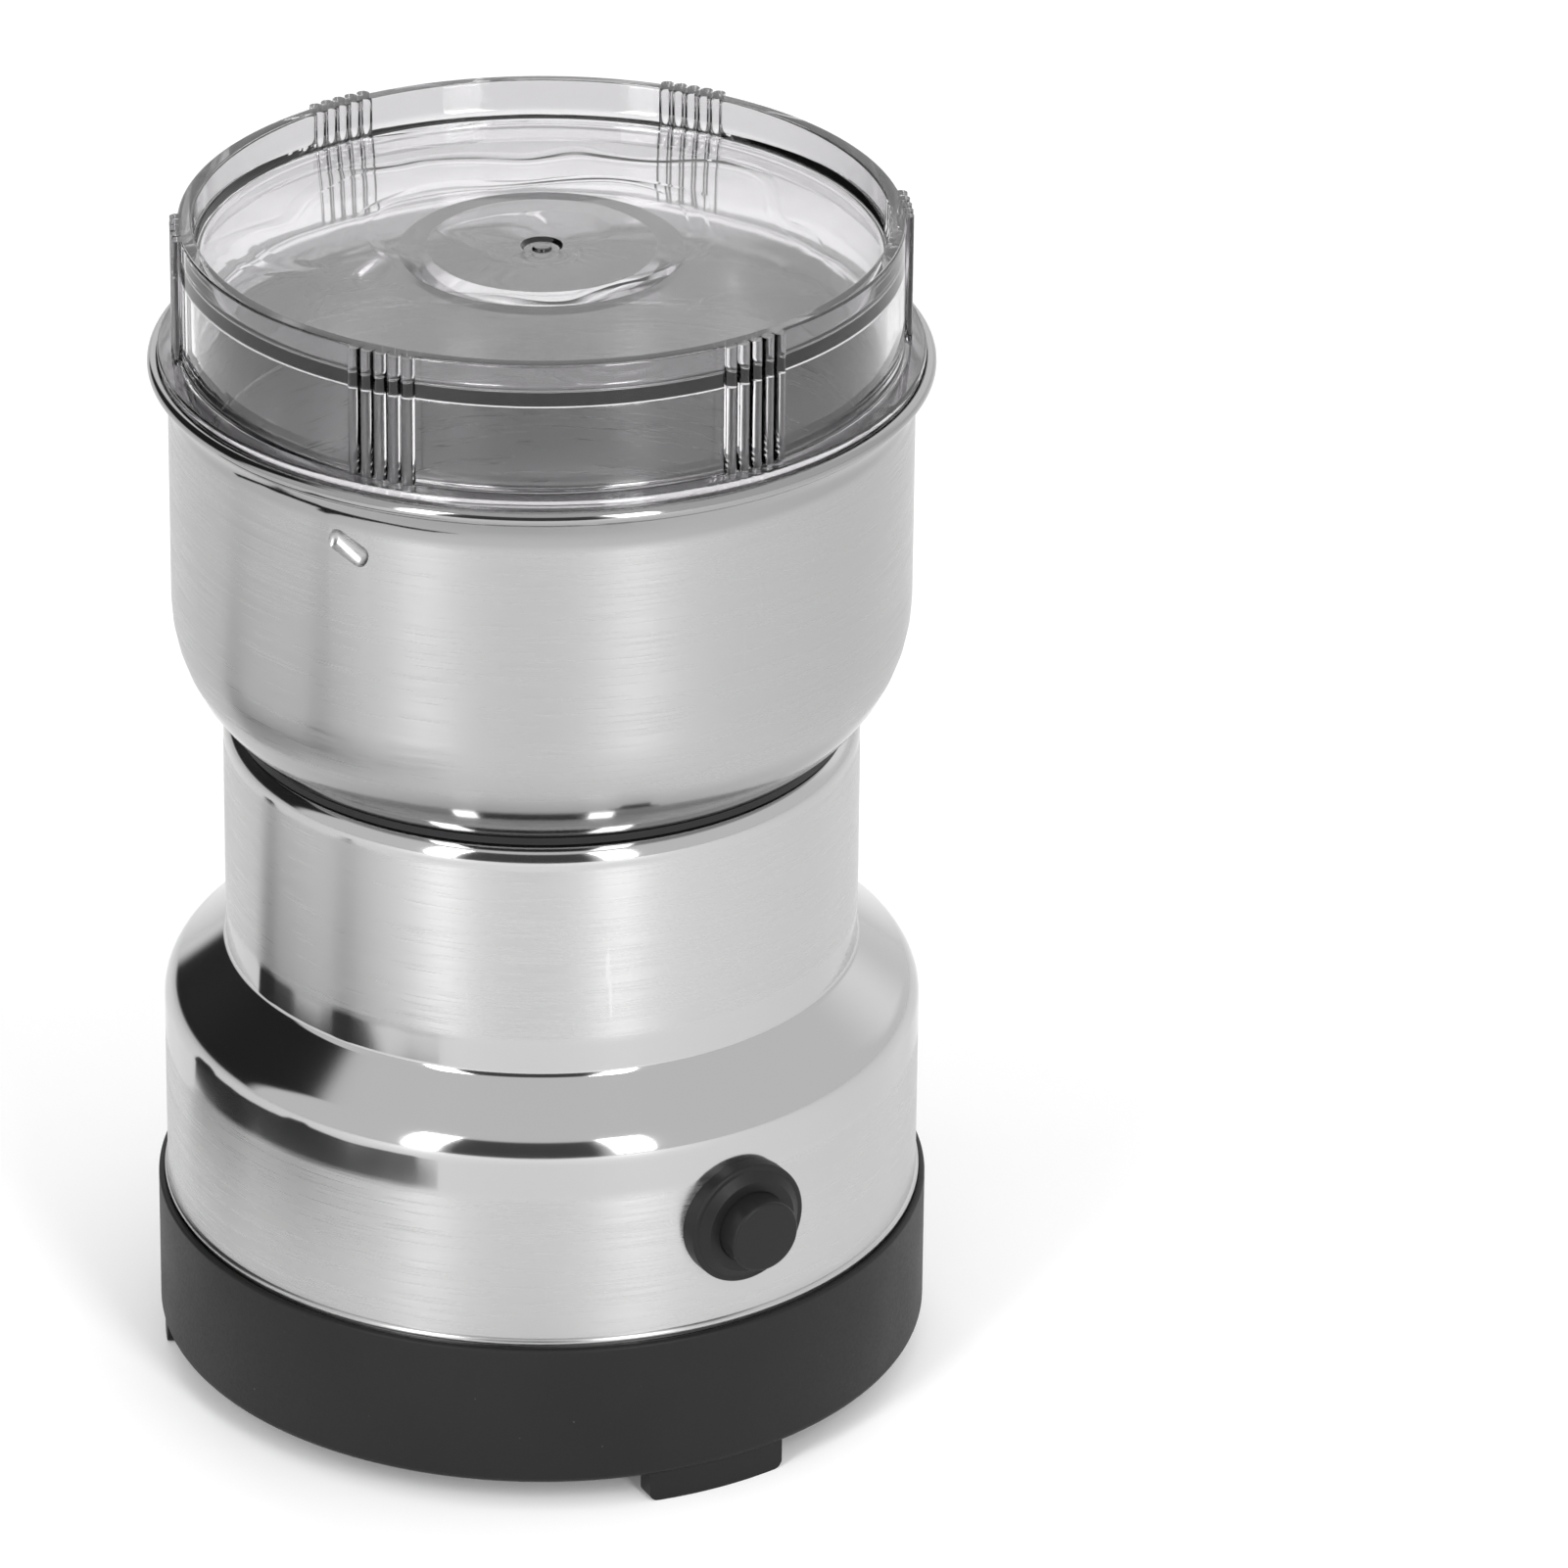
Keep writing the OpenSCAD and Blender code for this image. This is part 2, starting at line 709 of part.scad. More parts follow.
module top_bracket() {
    color("#202022")
    difference() {
        union() {
            translate([0, 0, neck_top])
                cylinder(r = collar_r, h = collar_h);
            translate([0, 0, bracket_under])
                cylinder(r = bracket_r, h = bracket_plate_t);
            translate([0, 0, bracket_under - bracket_skirt_h])
                difference() {
                    cylinder(r = bracket_r, h = bracket_skirt_h + sheet);
                    translate([0, 0, -cut])
                        cylinder(r = bracket_r - bracket_skirt_t, h = bracket_skirt_h + sheet + cut);
                }
            translate([0, 0, bush_up_z - bush_shoulder])
                cylinder(r = bearing_boss_r, h = bracket_under + sheet - bush_up_z + bush_shoulder);
            for (i = [0:bracket_ribs - 1])
                rotate([0, 0, i * 360 / bracket_ribs])
                    translate([0, -bracket_rib_t / 2, bracket_under - bracket_rib_h])
                        cube([bracket_r - bracket_skirt_t / 2, bracket_rib_t, bracket_rib_h + sheet]);
            at_ties()
                translate([0, 0, tie_post_top])
                    cylinder(r = tie_leg_r, h = bracket_under + sheet - tie_post_top);
            at_bolts()
                translate([0, 0, stack_top])
                    cylinder(r = bolt_post_r, h = bracket_under + sheet - stack_top);
            at_bowl_screws()
                translate([0, 0, bracket_under - bowl_boss_h])
                    cylinder(r = bowl_boss_r, h = bowl_boss_h + sheet);
        }
        translate([0, 0, bush_up_z - bush_shoulder - cut])
            cylinder(r = bush_r, h = bush_h + bush_shoulder + cut);
        translate([0, 0, bush_up_z])
            cylinder(r = shaft_r + hole_gap, h = bowl_z - bush_up_z + cut);
        translate([0, 0, bowl_z - seal_down])
            cylinder(r = seal_r + push_gap, h = seal_down + cut);
        at_ties()
            translate([0, 0, tie_post_top - cut])
                cylinder(r = tie_r + push_gap, h = tie_thread_l + hole_gap + cut);
        at_bolts()
            translate([0, 0, stack_top - cut])
                cylinder(r = bolt_r + push_gap, h = bolt_l_over + hole_gap + cut);
        at_bowl_screws()
            translate([0, 0, bowl_z - bowl_screw_l - hole_gap])
                cylinder(r = bowl_screw_r + push_gap, h = bowl_screw_l + hole_gap + cut);
    }
}

module bottom_bracket() {
    color("#3a3a3c")
    difference() {
        union() {
            translate([0, 0, frame_z])
                intersection() {
                    cylinder(r = frame_r, h = frame_t);
                    translate([-frame_r, -frame_d / 2, 0])
                        cube([2 * frame_r, frame_d, frame_t]);
                }
            translate([0, 0, bush_low_z - bush_shoulder])
                cylinder(r = bearing_boss_r, h = bush_h + bush_shoulder + frame_gap / 2);
            at_bolts()
                translate([0, 0, frame_z])
                    cylinder(r = bolt_post_r - seat_gap, h = stack_z - frame_z);
            for (a = [0, 180])
                rotate([0, 0, a])
                    translate([holder_in + holder_t, -holder_w / 2, frame_z])
                        cube([holder_out - holder_in - holder_t, holder_w,
                              brush_z - holder_h / 2 - frame_z]);
        }
        translate([0, 0, bush_low_z - bush_shoulder - cut])
            cylinder(r = bush_r, h = bush_h + bush_shoulder + cut);
        translate([0, 0, bush_low_z])
            cylinder(r = washer_r + hole_gap, h = frame_top - bush_low_z + cut);
        at_bolts()
            translate([0, 0, frame_z - cut])
                cylinder(r = bolt_r + push_gap, h = stack_z - frame_z + 2 * cut);
    }
}

module motor_bolts() {
    color("#a9adb1")
    at_bolts() {
        translate([0, 0, frame_z - bolt_head_h])
            cylinder(r = bolt_head_r, h = bolt_head_h);
        translate([0, 0, frame_z - bolt_head_h / 2])
            cylinder(r = bolt_r, h = stack_top + bolt_l_over - frame_z + bolt_head_h / 2);
    }
}

// Space between the yoke, the necks of the poles and their shoes, seen from above
module coil_space() {
    difference() {
        circle(r = yoke_in_r);
        circle(r = pole_bore_r - cut);
        for (a = [0, 180])
            rotate([0, 0, a]) {
                translate([0, -pole_neck_w / 2])
                    square([stack_w / 2, pole_neck_w]);
                pole_shoe_outline();
            }
    }
}

// Shoe of one pole, seen from above
module pole_shoe_outline() {
    reach = coil_in_r / cos(pole_half_angle);
    intersection() {
        circle(r = pole_bore_r + pole_shoe_t);
        polygon([[0, 0], [reach * cos(pole_half_angle), -reach * sin(pole_half_angle)],
                 [reach * cos(pole_half_angle), reach * sin(pole_half_angle)]]);
    }
}

module stator_core() {
    color("#74777a")
    translate([0, 0, stack_z])
        linear_extrude(height = stack_h)
            difference() {
                intersection() {
                    circle(r = stack_r);
                    square([stack_w, stack_d], center = true);
                }
                circle(r = pole_bore_r);
                coil_space();
                at_bolts()
                    circle(r = bolt_r + push_gap);
            }
}

module field_coils() {
    color("#a8552a")
    for (a = [0, 180])
        rotate([0, 0, a])
            difference() {
                sector(coil_in_r, coil_out_r, stack_z - coil_over, stack_top + coil_over, coil_half_angle);
                sector(coil_in_r - cut, coil_out_r + cut, stack_z - coil_gap, stack_top + coil_gap,
                       coil_window_angle);
            }
}

module bush(low) {
    translate([0, 0, low])
        difference() {
            cylinder(r = bush_r - push_gap / 2, h = bush_h);
            translate([0, 0, -cut])
                cylinder(r = shaft_r + run_gap, h = bush_h + 2 * cut);
        }
}

module upper_bush() {
    color("#b08d57")
    bush(bush_up_z);
}

module lower_bush() {
    color("#b08d57")
    bush(bush_low_z);
}

module brush_holders() {
    color("#c7a24a")
    for (a = [0, 180])
        rotate([0, 0, a])
            difference() {
                translate([holder_in, -holder_w / 2, brush_z - holder_h / 2])
                    cube([holder_out - holder_in, holder_w, holder_h]);
                translate([holder_in - cut, holder_t - holder_w / 2, brush_z - holder_h / 2 + holder_t])
                    cube([holder_out - holder_in - holder_t + cut, holder_w - 2 * holder_t,
                          holder_h - 2 * holder_t]);
            }
}

module carbon_brushes() {
    color("#2b2b2b")
    difference() {
        for (a = [0, 180])
            rotate([0, 0, a])
                translate([brush_tip - bar_slit_d, -brush_w / 2, brush_z - brush_h / 2])
                    cube([brush_l + bar_slit_d, brush_w, brush_h]);
        translate([0, 0, brush_z - brush_h])
            cylinder(r = brush_tip, h = 2 * brush_h);
    }
}

module brush_springs() {
    color("#9aa0a6")
    for (a = [0, 180])
        rotate([0, 0, a])
            translate([0, 0, brush_z])
                rotate([0, 90, 0])
                    spring(brush_spring_r, brush_wire_r, brush_back, holder_out - holder_t, 5, 12);
}

module motor_leads() {
    mid_r = (coil_in_r + coil_out_r) / 2;
    corner_x = mid_r * cos(lead_turn);
    corner_y = mid_r * sin(lead_turn);
    coil_low = stack_z - coil_over;
    color("#c23b2e") {
        tube([[-contact_x, -contact_back, button_z],
              [-contact_x, -contact_back + lead_r, button_z],
              [(corner_x - contact_x) / 2, (corner_y - contact_back) / 2, (button_z + coil_low) / 2],
              [corner_x, corner_y, coil_low - 2 * lead_r],
              [corner_x, corner_y, coil_low]], lead_r, 8);
        for (a = [0, 180])
            rotate([0, 0, a])
                tube([[mid_r, holder_w, coil_low],
                      [mid_r, holder_w, coil_low - lead_r],
                      [holder_out, holder_w - lead_r, brush_z + lead_r],
                      [holder_out + lead_r, holder_w / 2, brush_z],
                      [holder_out + lead_r, 0, brush_z]], lead_r, 8);
    }
}

module motor_shaft() {
    color("#b9bdc1") {
        translate([0, 0, fan_z - shaft_tail])
            cylinder(r = shaft_r, h = blade_z - fan_z + shaft_tail);
        translate([0, 0, blade_z - cut])
            cylinder(r = thread_r, h = thread_top - blade_z + cut);
    }
}

// Slots of the armature, seen from above
module armature_slots(w) {
    for (i = [0:slot_count - 1])
        rotate([0, 0, i * 360 / slot_count])
            translate([slot_in_r, -w / 2])
                square([armature_r, w]);
}

module armature_core() {
    color("#6c6f73")
    translate([0, 0, stack_z])
        linear_extrude(height = stack_h)
            difference() {
                circle(r = armature_r);
                circle(r = shaft_r);
                armature_slots(slot_w);
            }
}

module armature_windings() {
    color("#b5652f") {
        for (low = [stack_z - winding_over, stack_top])
            rotate_extrude()
                polygon(rounded([[winding_hub_r, low, 0], [winding_r, low, winding_over / 5],
                                 [winding_r, low + winding_over, winding_over / 5],
                                 [winding_hub_r, low + winding_over, 0]]));
        for (i = [0:slot_count - 1])
            rotate([0, 0, i * 360 / slot_count])
                translate([slot_in_r + push_gap, push_gap - slot_w / 2, stack_z - winding_over / 2])
                    cube([winding_r - slot_in_r - air_gap, slot_w - 2 * push_gap, stack_h + winding_over]);
    }
}

module commutator() {
    color("#b87333")
    difference() {
        union() {
            translate([0, 0, commutator_z])
                cylinder(r = commutator_r, h = commutator_h);
            translate([0, 0, commutator_top - riser_t])
                cylinder(r = riser_r, h = riser_t);
        }
        translate([0, 0, commutator_z - cut])
            cylinder(r = shaft_r, h = commutator_h + 2 * cut);
        for (i = [0:slot_count - 1])
            rotate([0, 0, (i + 0.5) * 360 / slot_count])
                translate([commutator_r - bar_slit_d, -bar_slit_w / 2, commutator_z - cut])
                    cube([riser_r, bar_slit_w, commutator_h + 2 * cut]);
    }
}

module thrust_washers() {
    color("#d8d2c0")
    for (low = [bush_up_z - seat_gap - washer_t, bush_low_top + seat_gap])
        translate([0, 0, low])
            difference() {
                cylinder(r = washer_r, h = washer_t);
                translate([0, 0, -cut])
                    cylinder(r = shaft_r, h = washer_t + 2 * cut);
            }
}

// Curved blade of the fan, seen from above
module fan_blade_outline() {
    r = 0.75 * fan_r;
    polygon(concat([for (a = [0:10:50]) [fan_hub_r - fan_blade_t + r * sin(a), r * (1 - cos(a))]],
                   [for (a = [50:-10:0])
                       [fan_hub_r - fan_blade_t + (r - fan_blade_t) * sin(a),
                        r - (r - fan_blade_t) * cos(a)]]));
}

module cooling_fan() {
    color("#e4e2dc")
    difference() {
        union() {
            translate([0, 0, fan_z])
                cylinder(r = fan_hub_r, h = fan_h);
            translate([0, 0, fan_z + fan_h - fan_plate_t])
                cylinder(r = fan_r, h = fan_plate_t);
            intersection() {
                translate([0, 0, fan_z])
                    cylinder(r = fan_r, h = fan_h);
                for (i = [0:fan_blades - 1])
                    rotate([0, 0, i * 360 / fan_blades])
                        translate([0, 0, fan_z])
                            linear_extrude(height = fan_h - fan_plate_t / 2)
                                fan_blade_outline();
            }
        }
        translate([0, 0, fan_z - cut])
            cylinder(r = shaft_r, h = fan_h + 2 * cut);
    }
}

// Axis of one dent, slanted and lying along the wall
module dent_bar(r, l) {
    at_angle(dent_turn)
        translate([bowl_r - dent_depth + dent_r, 0, rim_z - dent_down])
            rotate([90 - dent_slant, 0, 0])
                cylinder(r = r, h = l, center = true);
}

module bowl() {
    color("#cfd1d3")
    difference() {
        union() {
            rotate_extrude() {
                sheet_outline([[seal_r + push_gap, bowl_z, 0], [bowl_floor_r, bowl_z, bowl_floor_round],
                               [bowl_r, bowl_z + bowl_slope_h, bowl_corner_round],
                               [bowl_r, rim_z - flare_h, flare_h],
                               [rim_r - rim_bead, rim_z, 0]], sheet);
                translate([rim_r - rim_bead, rim_z])
                    circle(r = rim_bead);
            }
            intersection() {
                for (i = [0:dent_count - 1])
                    rotate([0, 0, i * 360 / dent_count])
                        dent_bar(dent_r + sheet, dent_l + 2 * sheet);
                translate([0, 0, bowl_z])
                    cylinder(r = bowl_r - sheet / 2, h = bowl_h);
            }
        }
        for (i = [0:dent_count - 1])
            rotate([0, 0, i * 360 / dent_count])
                dent_bar(dent_r, dent_l);
        at_bowl_screws()
            translate([0, 0, bowl_z - cut])
                cylinder(r = bowl_screw_r + hole_gap, h = sheet + 2 * cut);
    }
}

module bowl_screws() {
    color("#c2c5c8")
    at_bowl_screws()
        difference() {
            union() {
                translate([0, 0, bowl_floor_z])
                    rotate_extrude()
                        polygon(rounded([[0, 0, 0], [bowl_screw_head_r, 0, 0],
                                         [bowl_screw_head_r, bowl_screw_head_h, bowl_screw_head_h / 2],
                                         [0, bowl_screw_head_h, 0]]));
                translate([0, 0, bowl_z - bowl_screw_l])
                    cylinder(r = bowl_screw_r, h = bowl_screw_l + sheet + bowl_screw_head_h / 2);
            }
            for (a = [0, 90])
                rotate([0, 0, a])
                    translate([-bowl_screw_r, -bowl_screw_r / 5, bowl_floor_z + bowl_screw_head_h / 2])
                        cube([2 * bowl_screw_r, 2 * bowl_screw_r / 5, bowl_screw_head_h]);
        }
}

module bowl_seal() {
    flange_z = bowl_floor_z + seal_flange_t;
    color("#232325")
    rotate_extrude()
        polygon(rounded([[shaft_r + run_gap, bowl_z - seal_down + seat_gap, 0],
                         [seal_r, bowl_z - seal_down + seat_gap, 0], [seal_r, bowl_floor_z, 0],
                         [seal_flange_r, bowl_floor_z, 0], [seal_flange_r, flange_z, seal_flange_t / 2],
                         [seal_r, flange_z, seal_flange_t / 3], [seal_top_r, bowl_floor_z + seal_up, 0],
                         [shaft_r + run_gap, bowl_floor_z + seal_up, 0]]));
}

// Blade seen from above
module blade_outline() {
    circle(r = blade_hub_r);
    for (a = [0, 180])
        rotate([0, 0, a])
            polygon([[-blade_t, -blade_w / 2], [blade_bend_r, -blade_w / 2], [blade_r, -blade_tip_w / 2],
                     [blade_r, blade_w / 2 - blade_tip_w / 5], [2 * blade_bend_r, blade_w / 2],
                     [-blade_t, blade_w / 2]]);
}

// Blade seen from its side: one strip with a wing bent up and a wing bent down
module blade_strip() {
    reach = blade_r + cut - blade_bend_r;
    sheet_outline([[-blade_r - cut, -reach * tan(wing_down), 0], [-blade_bend_r, 0, blade_bend_round],
                   [blade_bend_r, 0, blade_bend_round], [blade_r + cut, reach * tan(wing_up), 0]],
                  blade_t);
}

// What is ground off along the leading edge of a wing
module wing_bevel(bend) {
    edge_turn = atan((blade_w - blade_tip_w) / 2 * cos(bend) / (blade_r - blade_bend_r));
    edge_slope = atan((blade_t - edge_t) / edge_w);
    translate([blade_bend_r, 0, blade_z])
        rotate([0, -bend, 0])
            translate([0, -blade_w / 2, 0])
                rotate([0, 0, edge_turn])
                    translate([2 * blade_t, edge_w, blade_t])
                        rotate([edge_slope, 0, 0])
                            translate([0, -2 * edge_w, 0])
                                cube([blade_r, 2 * edge_w, 2 * blade_t]);
}

module blade() {
    color("#d7d9db")
    difference() {
        intersection() {
            translate([0, blade_hub_r + cut, blade_z])
                rotate([90, 0, 0])
                    linear_extrude(height = 2 * blade_hub_r + 2 * cut)
                        blade_strip();
            translate([0, 0, blade_z - blade_r])
                linear_extrude(height = 2 * blade_r)
                    blade_outline();
        }
        wing_bevel(wing_up);
        rotate([0, 0, 180])
            wing_bevel(-wing_down);
        translate([0, 0, blade_z - cut])
            cylinder(r = thread_r, h = blade_t + 2 * cut);
    }
}

module blade_washer() {
    color("#c2c5c8")
    translate([0, 0, blade_z + blade_t])
        difference() {
            cylinder(r = blade_washer_r, h = blade_washer_t);
            translate([0, 0, -cut])
                cylinder(r = thread_r, h = blade_washer_t + 2 * cut);
        }
}

module blade_nut() {
    low = blade_z + blade_t + blade_washer_t;
    color("#c9cccf")
    difference() {
        union() {
            translate([0, 0, low])
                cylinder(r = nut_r, h = nut_h, $fn = 6);
            translate([0, 0, low + nut_h])
                rotate_extrude()
                    polygon(rounded([[0, 0, 0], [nut_dome_r, 0, 0], [nut_dome_r, nut_dome_h, nut_dome_h],
                                     [0, nut_dome_h, 0]]));
        }
        translate([0, 0, low - cut])
            cylinder(r = thread_r, h = nut_h + cut);
    }
}

// Half of the cut through the lid
module lid_outline() {
    polygon(rounded([[lid_in_r, skirt_z, 0], [skirt_r, skirt_z, 0], [skirt_r, lid_z, 0],
                     [flange_r, lid_z, lid_edge_round], [flange_r, flange_top, lid_edge_round],
                     [lid_r, flange_top, lid_root_round], [lid_r, lid_top, lid_edge_round],
                     [lid_r - lid_rim_t, lid_top, lid_edge_round],
                     [lid_r - lid_rim_t, panel_top, panel_root_round],
                     [disc_r + disc_slope / 2, panel_top, disc_round],
                     [disc_r - disc_slope / 2, panel_top + disc_h, disc_round],
                     [0, panel_top + disc_h, 0], [0, panel_z, 0],
                     [lid_in_r, panel_z, lid_root_round]]));
}

module grip_ribs() {
    for (g = [0:grip_groups - 1])
        for (i = [0:grip_ribs - 1])
            at_angle(grip_turn + g * 360 / grip_groups + (i - (grip_ribs - 1) / 2) * rib_step)
                translate([lid_r + rib_sink, 0, flange_top - flange_t / 2])
                    cylinder(r = rib_r, h = lid_top - flange_top + flange_t / 2, $fn = 24);
}

// Slanted lugs on the skirt that catch under the dents when the lid is turned
module lid_lugs() {
    intersection() {
        translate([0, 0, skirt_z])
            difference() {
                cylinder(r = skirt_r + lug_out, h = skirt_h);
                translate([0, 0, -cut])
                    cylinder(r = skirt_r - skirt_t / 2, h = skirt_h + 2 * cut);
            }
        for (i = [0:lug_count - 1])
            at_angle(lug_turn + i * 360 / lug_count)
                translate([skirt_r, 0, rim_z - dent_down - 2 * dent_r])
                    rotate([-dent_slant / 3, 0, 0])
                        cube([skirt_t * 2, 2 * skirt_r * sin(lug_angle / 2), lug_h], center = true);
    }
}

module lid() {
    color("#8f9396", 0.45)
    union() {
        difference() {
            union() {
                rotate_extrude()
                    lid_outline();
                grip_ribs();
                lid_lugs();
            }
            translate([0, 0, panel_top + disc_h - gate_depth])
                cylinder(r = gate_r, h = gate_depth + cut);
        }
        translate([0, 0, panel_top + disc_h - gate_depth - gate_nub_h])
            cylinder(r = gate_nub_r, h = 2 * gate_nub_h);
    }
}

// Button housing without its bore, with a flange cut to lie on the round steel body
module bezel_solid() {
    difference() {
        on_button()
            rotate_extrude()
                polygon(rounded([[0, bezel_side, 0], [bezel_r, bezel_side, 0],
                                 [bezel_r, bezel_front, bezel_edge],
                                 [bezel_r - 2 * bezel_edge, bezel_front, 0],
                                 [bezel_top_r, bezel_top, bezel_edge / 2], [0, bezel_top, 0]]));
        translate([0, 0, button_z - 2 * bezel_r])
            cylinder(r = shell_r, h = 4 * bezel_r);
    }
    on_button()
        translate([0, 0, barrel_back])
            cylinder(r = barrel_r, h = bezel_front - barrel_back);
}

module button_bezel() {
    color("#2c2c2e")
    difference() {
        bezel_solid();
        on_button() {
            translate([0, 0, barrel_back - cut])
                cylinder(r = barrel_in_r, h = barrel_stop - barrel_back + cut);
            translate([0, 0, barrel_back])
                cylinder(r = button_r + run_gap, h = bezel_top - barrel_back + cut);
        }
    }
}

module bezel_nut() {
    color("#3b3b3e")
    on_button()
        translate([0, 0, bezel_nut_out - bezel_nut_t])
            difference() {
                cylinder(r = bezel_nut_r, h = bezel_nut_t, $fn = 6);
                translate([0, 0, -cut])
                    cylinder(r = barrel_r + push_gap, h = bezel_nut_t + 2 * cut);
            }
}

module button_cap() {
    color("#1f1f21")
    on_button()
        rotate_extrude()
            polygon(rounded([[0, bridge_rest + bridge_t, 0], [stem_r, bridge_rest + bridge_t, 0],
                             [stem_r, button_rim_back, 0], [button_rim_r, button_rim_back, 0],
                             [button_rim_r, button_rim_top, 0], [button_r, button_rim_top, 0],
                             [button_r, button_face, button_round], [0, button_face, 0]]));
}

module button_spring() {
    color("#aeb3b8")
    on_button()
        spring(spring_r, spring_wire_r, switch_front, button_rim_back, 5, 16);
}

module switch_body() {
    color("#e6e3da")
    on_button()
        difference() {
            union() {
                translate([0, 0, switch_back])
                    cylinder(r = barrel_r, h = switch_l);
                translate([0, 0, barrel_back - cut])
                    cylinder(r = barrel_in_r - push_gap, h = switch_plug_h + cut);
            }
            translate([0, 0, chamber_back])
                cylinder(r = barrel_r - switch_wall, h = chamber_front - chamber_back);
            translate([0, 0, chamber_back])
                cylinder(r = stem_r + run_gap, h = switch_front - chamber_back + cut);
            for (x = [-contact_x, contact_x])
                translate([x - contact_t / 2, -contact_w / 2, switch_back - cut])
                    cube([contact_t, contact_w, switch_plate + 2 * cut]);
        }
}

module switch_contacts() {
    color("#c9b26b")
    on_button()
        for (x = [-contact_x, contact_x])
            translate([x - contact_t / 2, -contact_w / 2, contact_back])
                cube([contact_t, contact_w, contact_top - contact_back]);
}

module contact_bridge() {
    color("#c08a4a")
    on_button()
        translate([-bridge_l / 2, -bridge_w / 2, bridge_rest])
            cube([bridge_l, bridge_w, bridge_t]);
}

base_cup();
base_screws();
cord_gland();
body_shell();
top_bracket();
bottom_bracket();
motor_bolts();
stator_core();
field_coils();
upper_bush();
lower_bush();
brush_holders();
carbon_brushes();
brush_springs();
motor_leads();
motor_shaft();
armature_core();
armature_windings();
commutator();
thrust_washers();
cooling_fan();
bowl();
bowl_screws();
bowl_seal();
blade();
blade_washer();
blade_nut();
lid();
button_bezel();
bezel_nut();
button_cap();
button_spring();
switch_body();
switch_contacts();
contact_bridge();
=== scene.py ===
"""Electric spice grinder on a pale floor, laid out as an add-on that is run as a script.

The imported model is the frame. The outer pieces are modelled here over their solids, the inner
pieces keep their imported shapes, and every piece gets a procedural finish.
"""
import math

import bpy
from bpy.props import FloatProperty, FloatVectorProperty, IntProperty, PointerProperty
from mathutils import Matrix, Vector


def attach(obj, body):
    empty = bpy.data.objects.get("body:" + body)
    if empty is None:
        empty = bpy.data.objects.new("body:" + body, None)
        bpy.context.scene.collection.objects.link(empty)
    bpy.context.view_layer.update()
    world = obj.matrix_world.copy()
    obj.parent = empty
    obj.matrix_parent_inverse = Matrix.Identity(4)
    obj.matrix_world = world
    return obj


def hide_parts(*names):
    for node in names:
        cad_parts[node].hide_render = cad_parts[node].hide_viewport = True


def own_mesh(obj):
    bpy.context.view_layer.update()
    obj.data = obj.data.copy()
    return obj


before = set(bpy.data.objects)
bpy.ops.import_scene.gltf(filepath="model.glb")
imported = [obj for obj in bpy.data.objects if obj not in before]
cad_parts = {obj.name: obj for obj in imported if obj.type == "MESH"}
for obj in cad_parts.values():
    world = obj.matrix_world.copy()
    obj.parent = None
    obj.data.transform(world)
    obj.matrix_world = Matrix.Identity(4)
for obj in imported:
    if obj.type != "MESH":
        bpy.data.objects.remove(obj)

bl_info = {
    "name": "Spice grinder scene",
    "version": (1, 0, 0),
    "blender": (4, 5, 0),
    "location": "3D View > Sidebar > Grinder",
    "description": "Models the outer pieces of a spice grinder, its finishes and its stage",
    "category": "Object",
}

FULL_TURN = 2 * math.pi
# Points closer than this are one point
MERGE_GAP = 1e-6
# Edges that bend more than this stay sharp
SHARP_EDGE = math.radians(32)
# How far a cutting tool passes the surface that it cuts
OVER = 0.001
# Small roundings of the base lip, the vent slots, the lid and the nub in its gate mark
LIP_ROUND = 0.45e-3
VENT_ROUND = 0.4e-3
LID_ROUND = 0.3e-3
NUB_ROUND = 0.2e-3
# Number of facets round each turned piece
BASE_SIDES = 192
STEEL_SIDES = 256
LID_SIDES = 240
BUTTON_SIDES = 128
# Feet, tie posts, bowl screws, dents and lugs come three times round the axis
FOLD = 3
# Number of vent slots
VENTS = 16
# The range that holds most of a noise
MIDDLE = (0.3, 0.7)


def length(name, millimetres, description):
    """A length in metres, given in millimetres."""
    return FloatProperty(name=name, description=description, default=millimetres / 1000,
                         unit="LENGTH", precision=5)


def angle(name, degrees, description):
    """An angle, given in degrees."""
    return FloatProperty(name=name, description=description, default=math.radians(degrees),
                         subtype="ANGLE")


def number(name, value, description):
    """A plain number."""
    return FloatProperty(name=name, description=description, default=value)


def tone(name, colour, description):
    """A linear colour."""
    return FloatVectorProperty(name=name, description=description, default=colour, size=3,
                               subtype="COLOR", min=0, max=1)


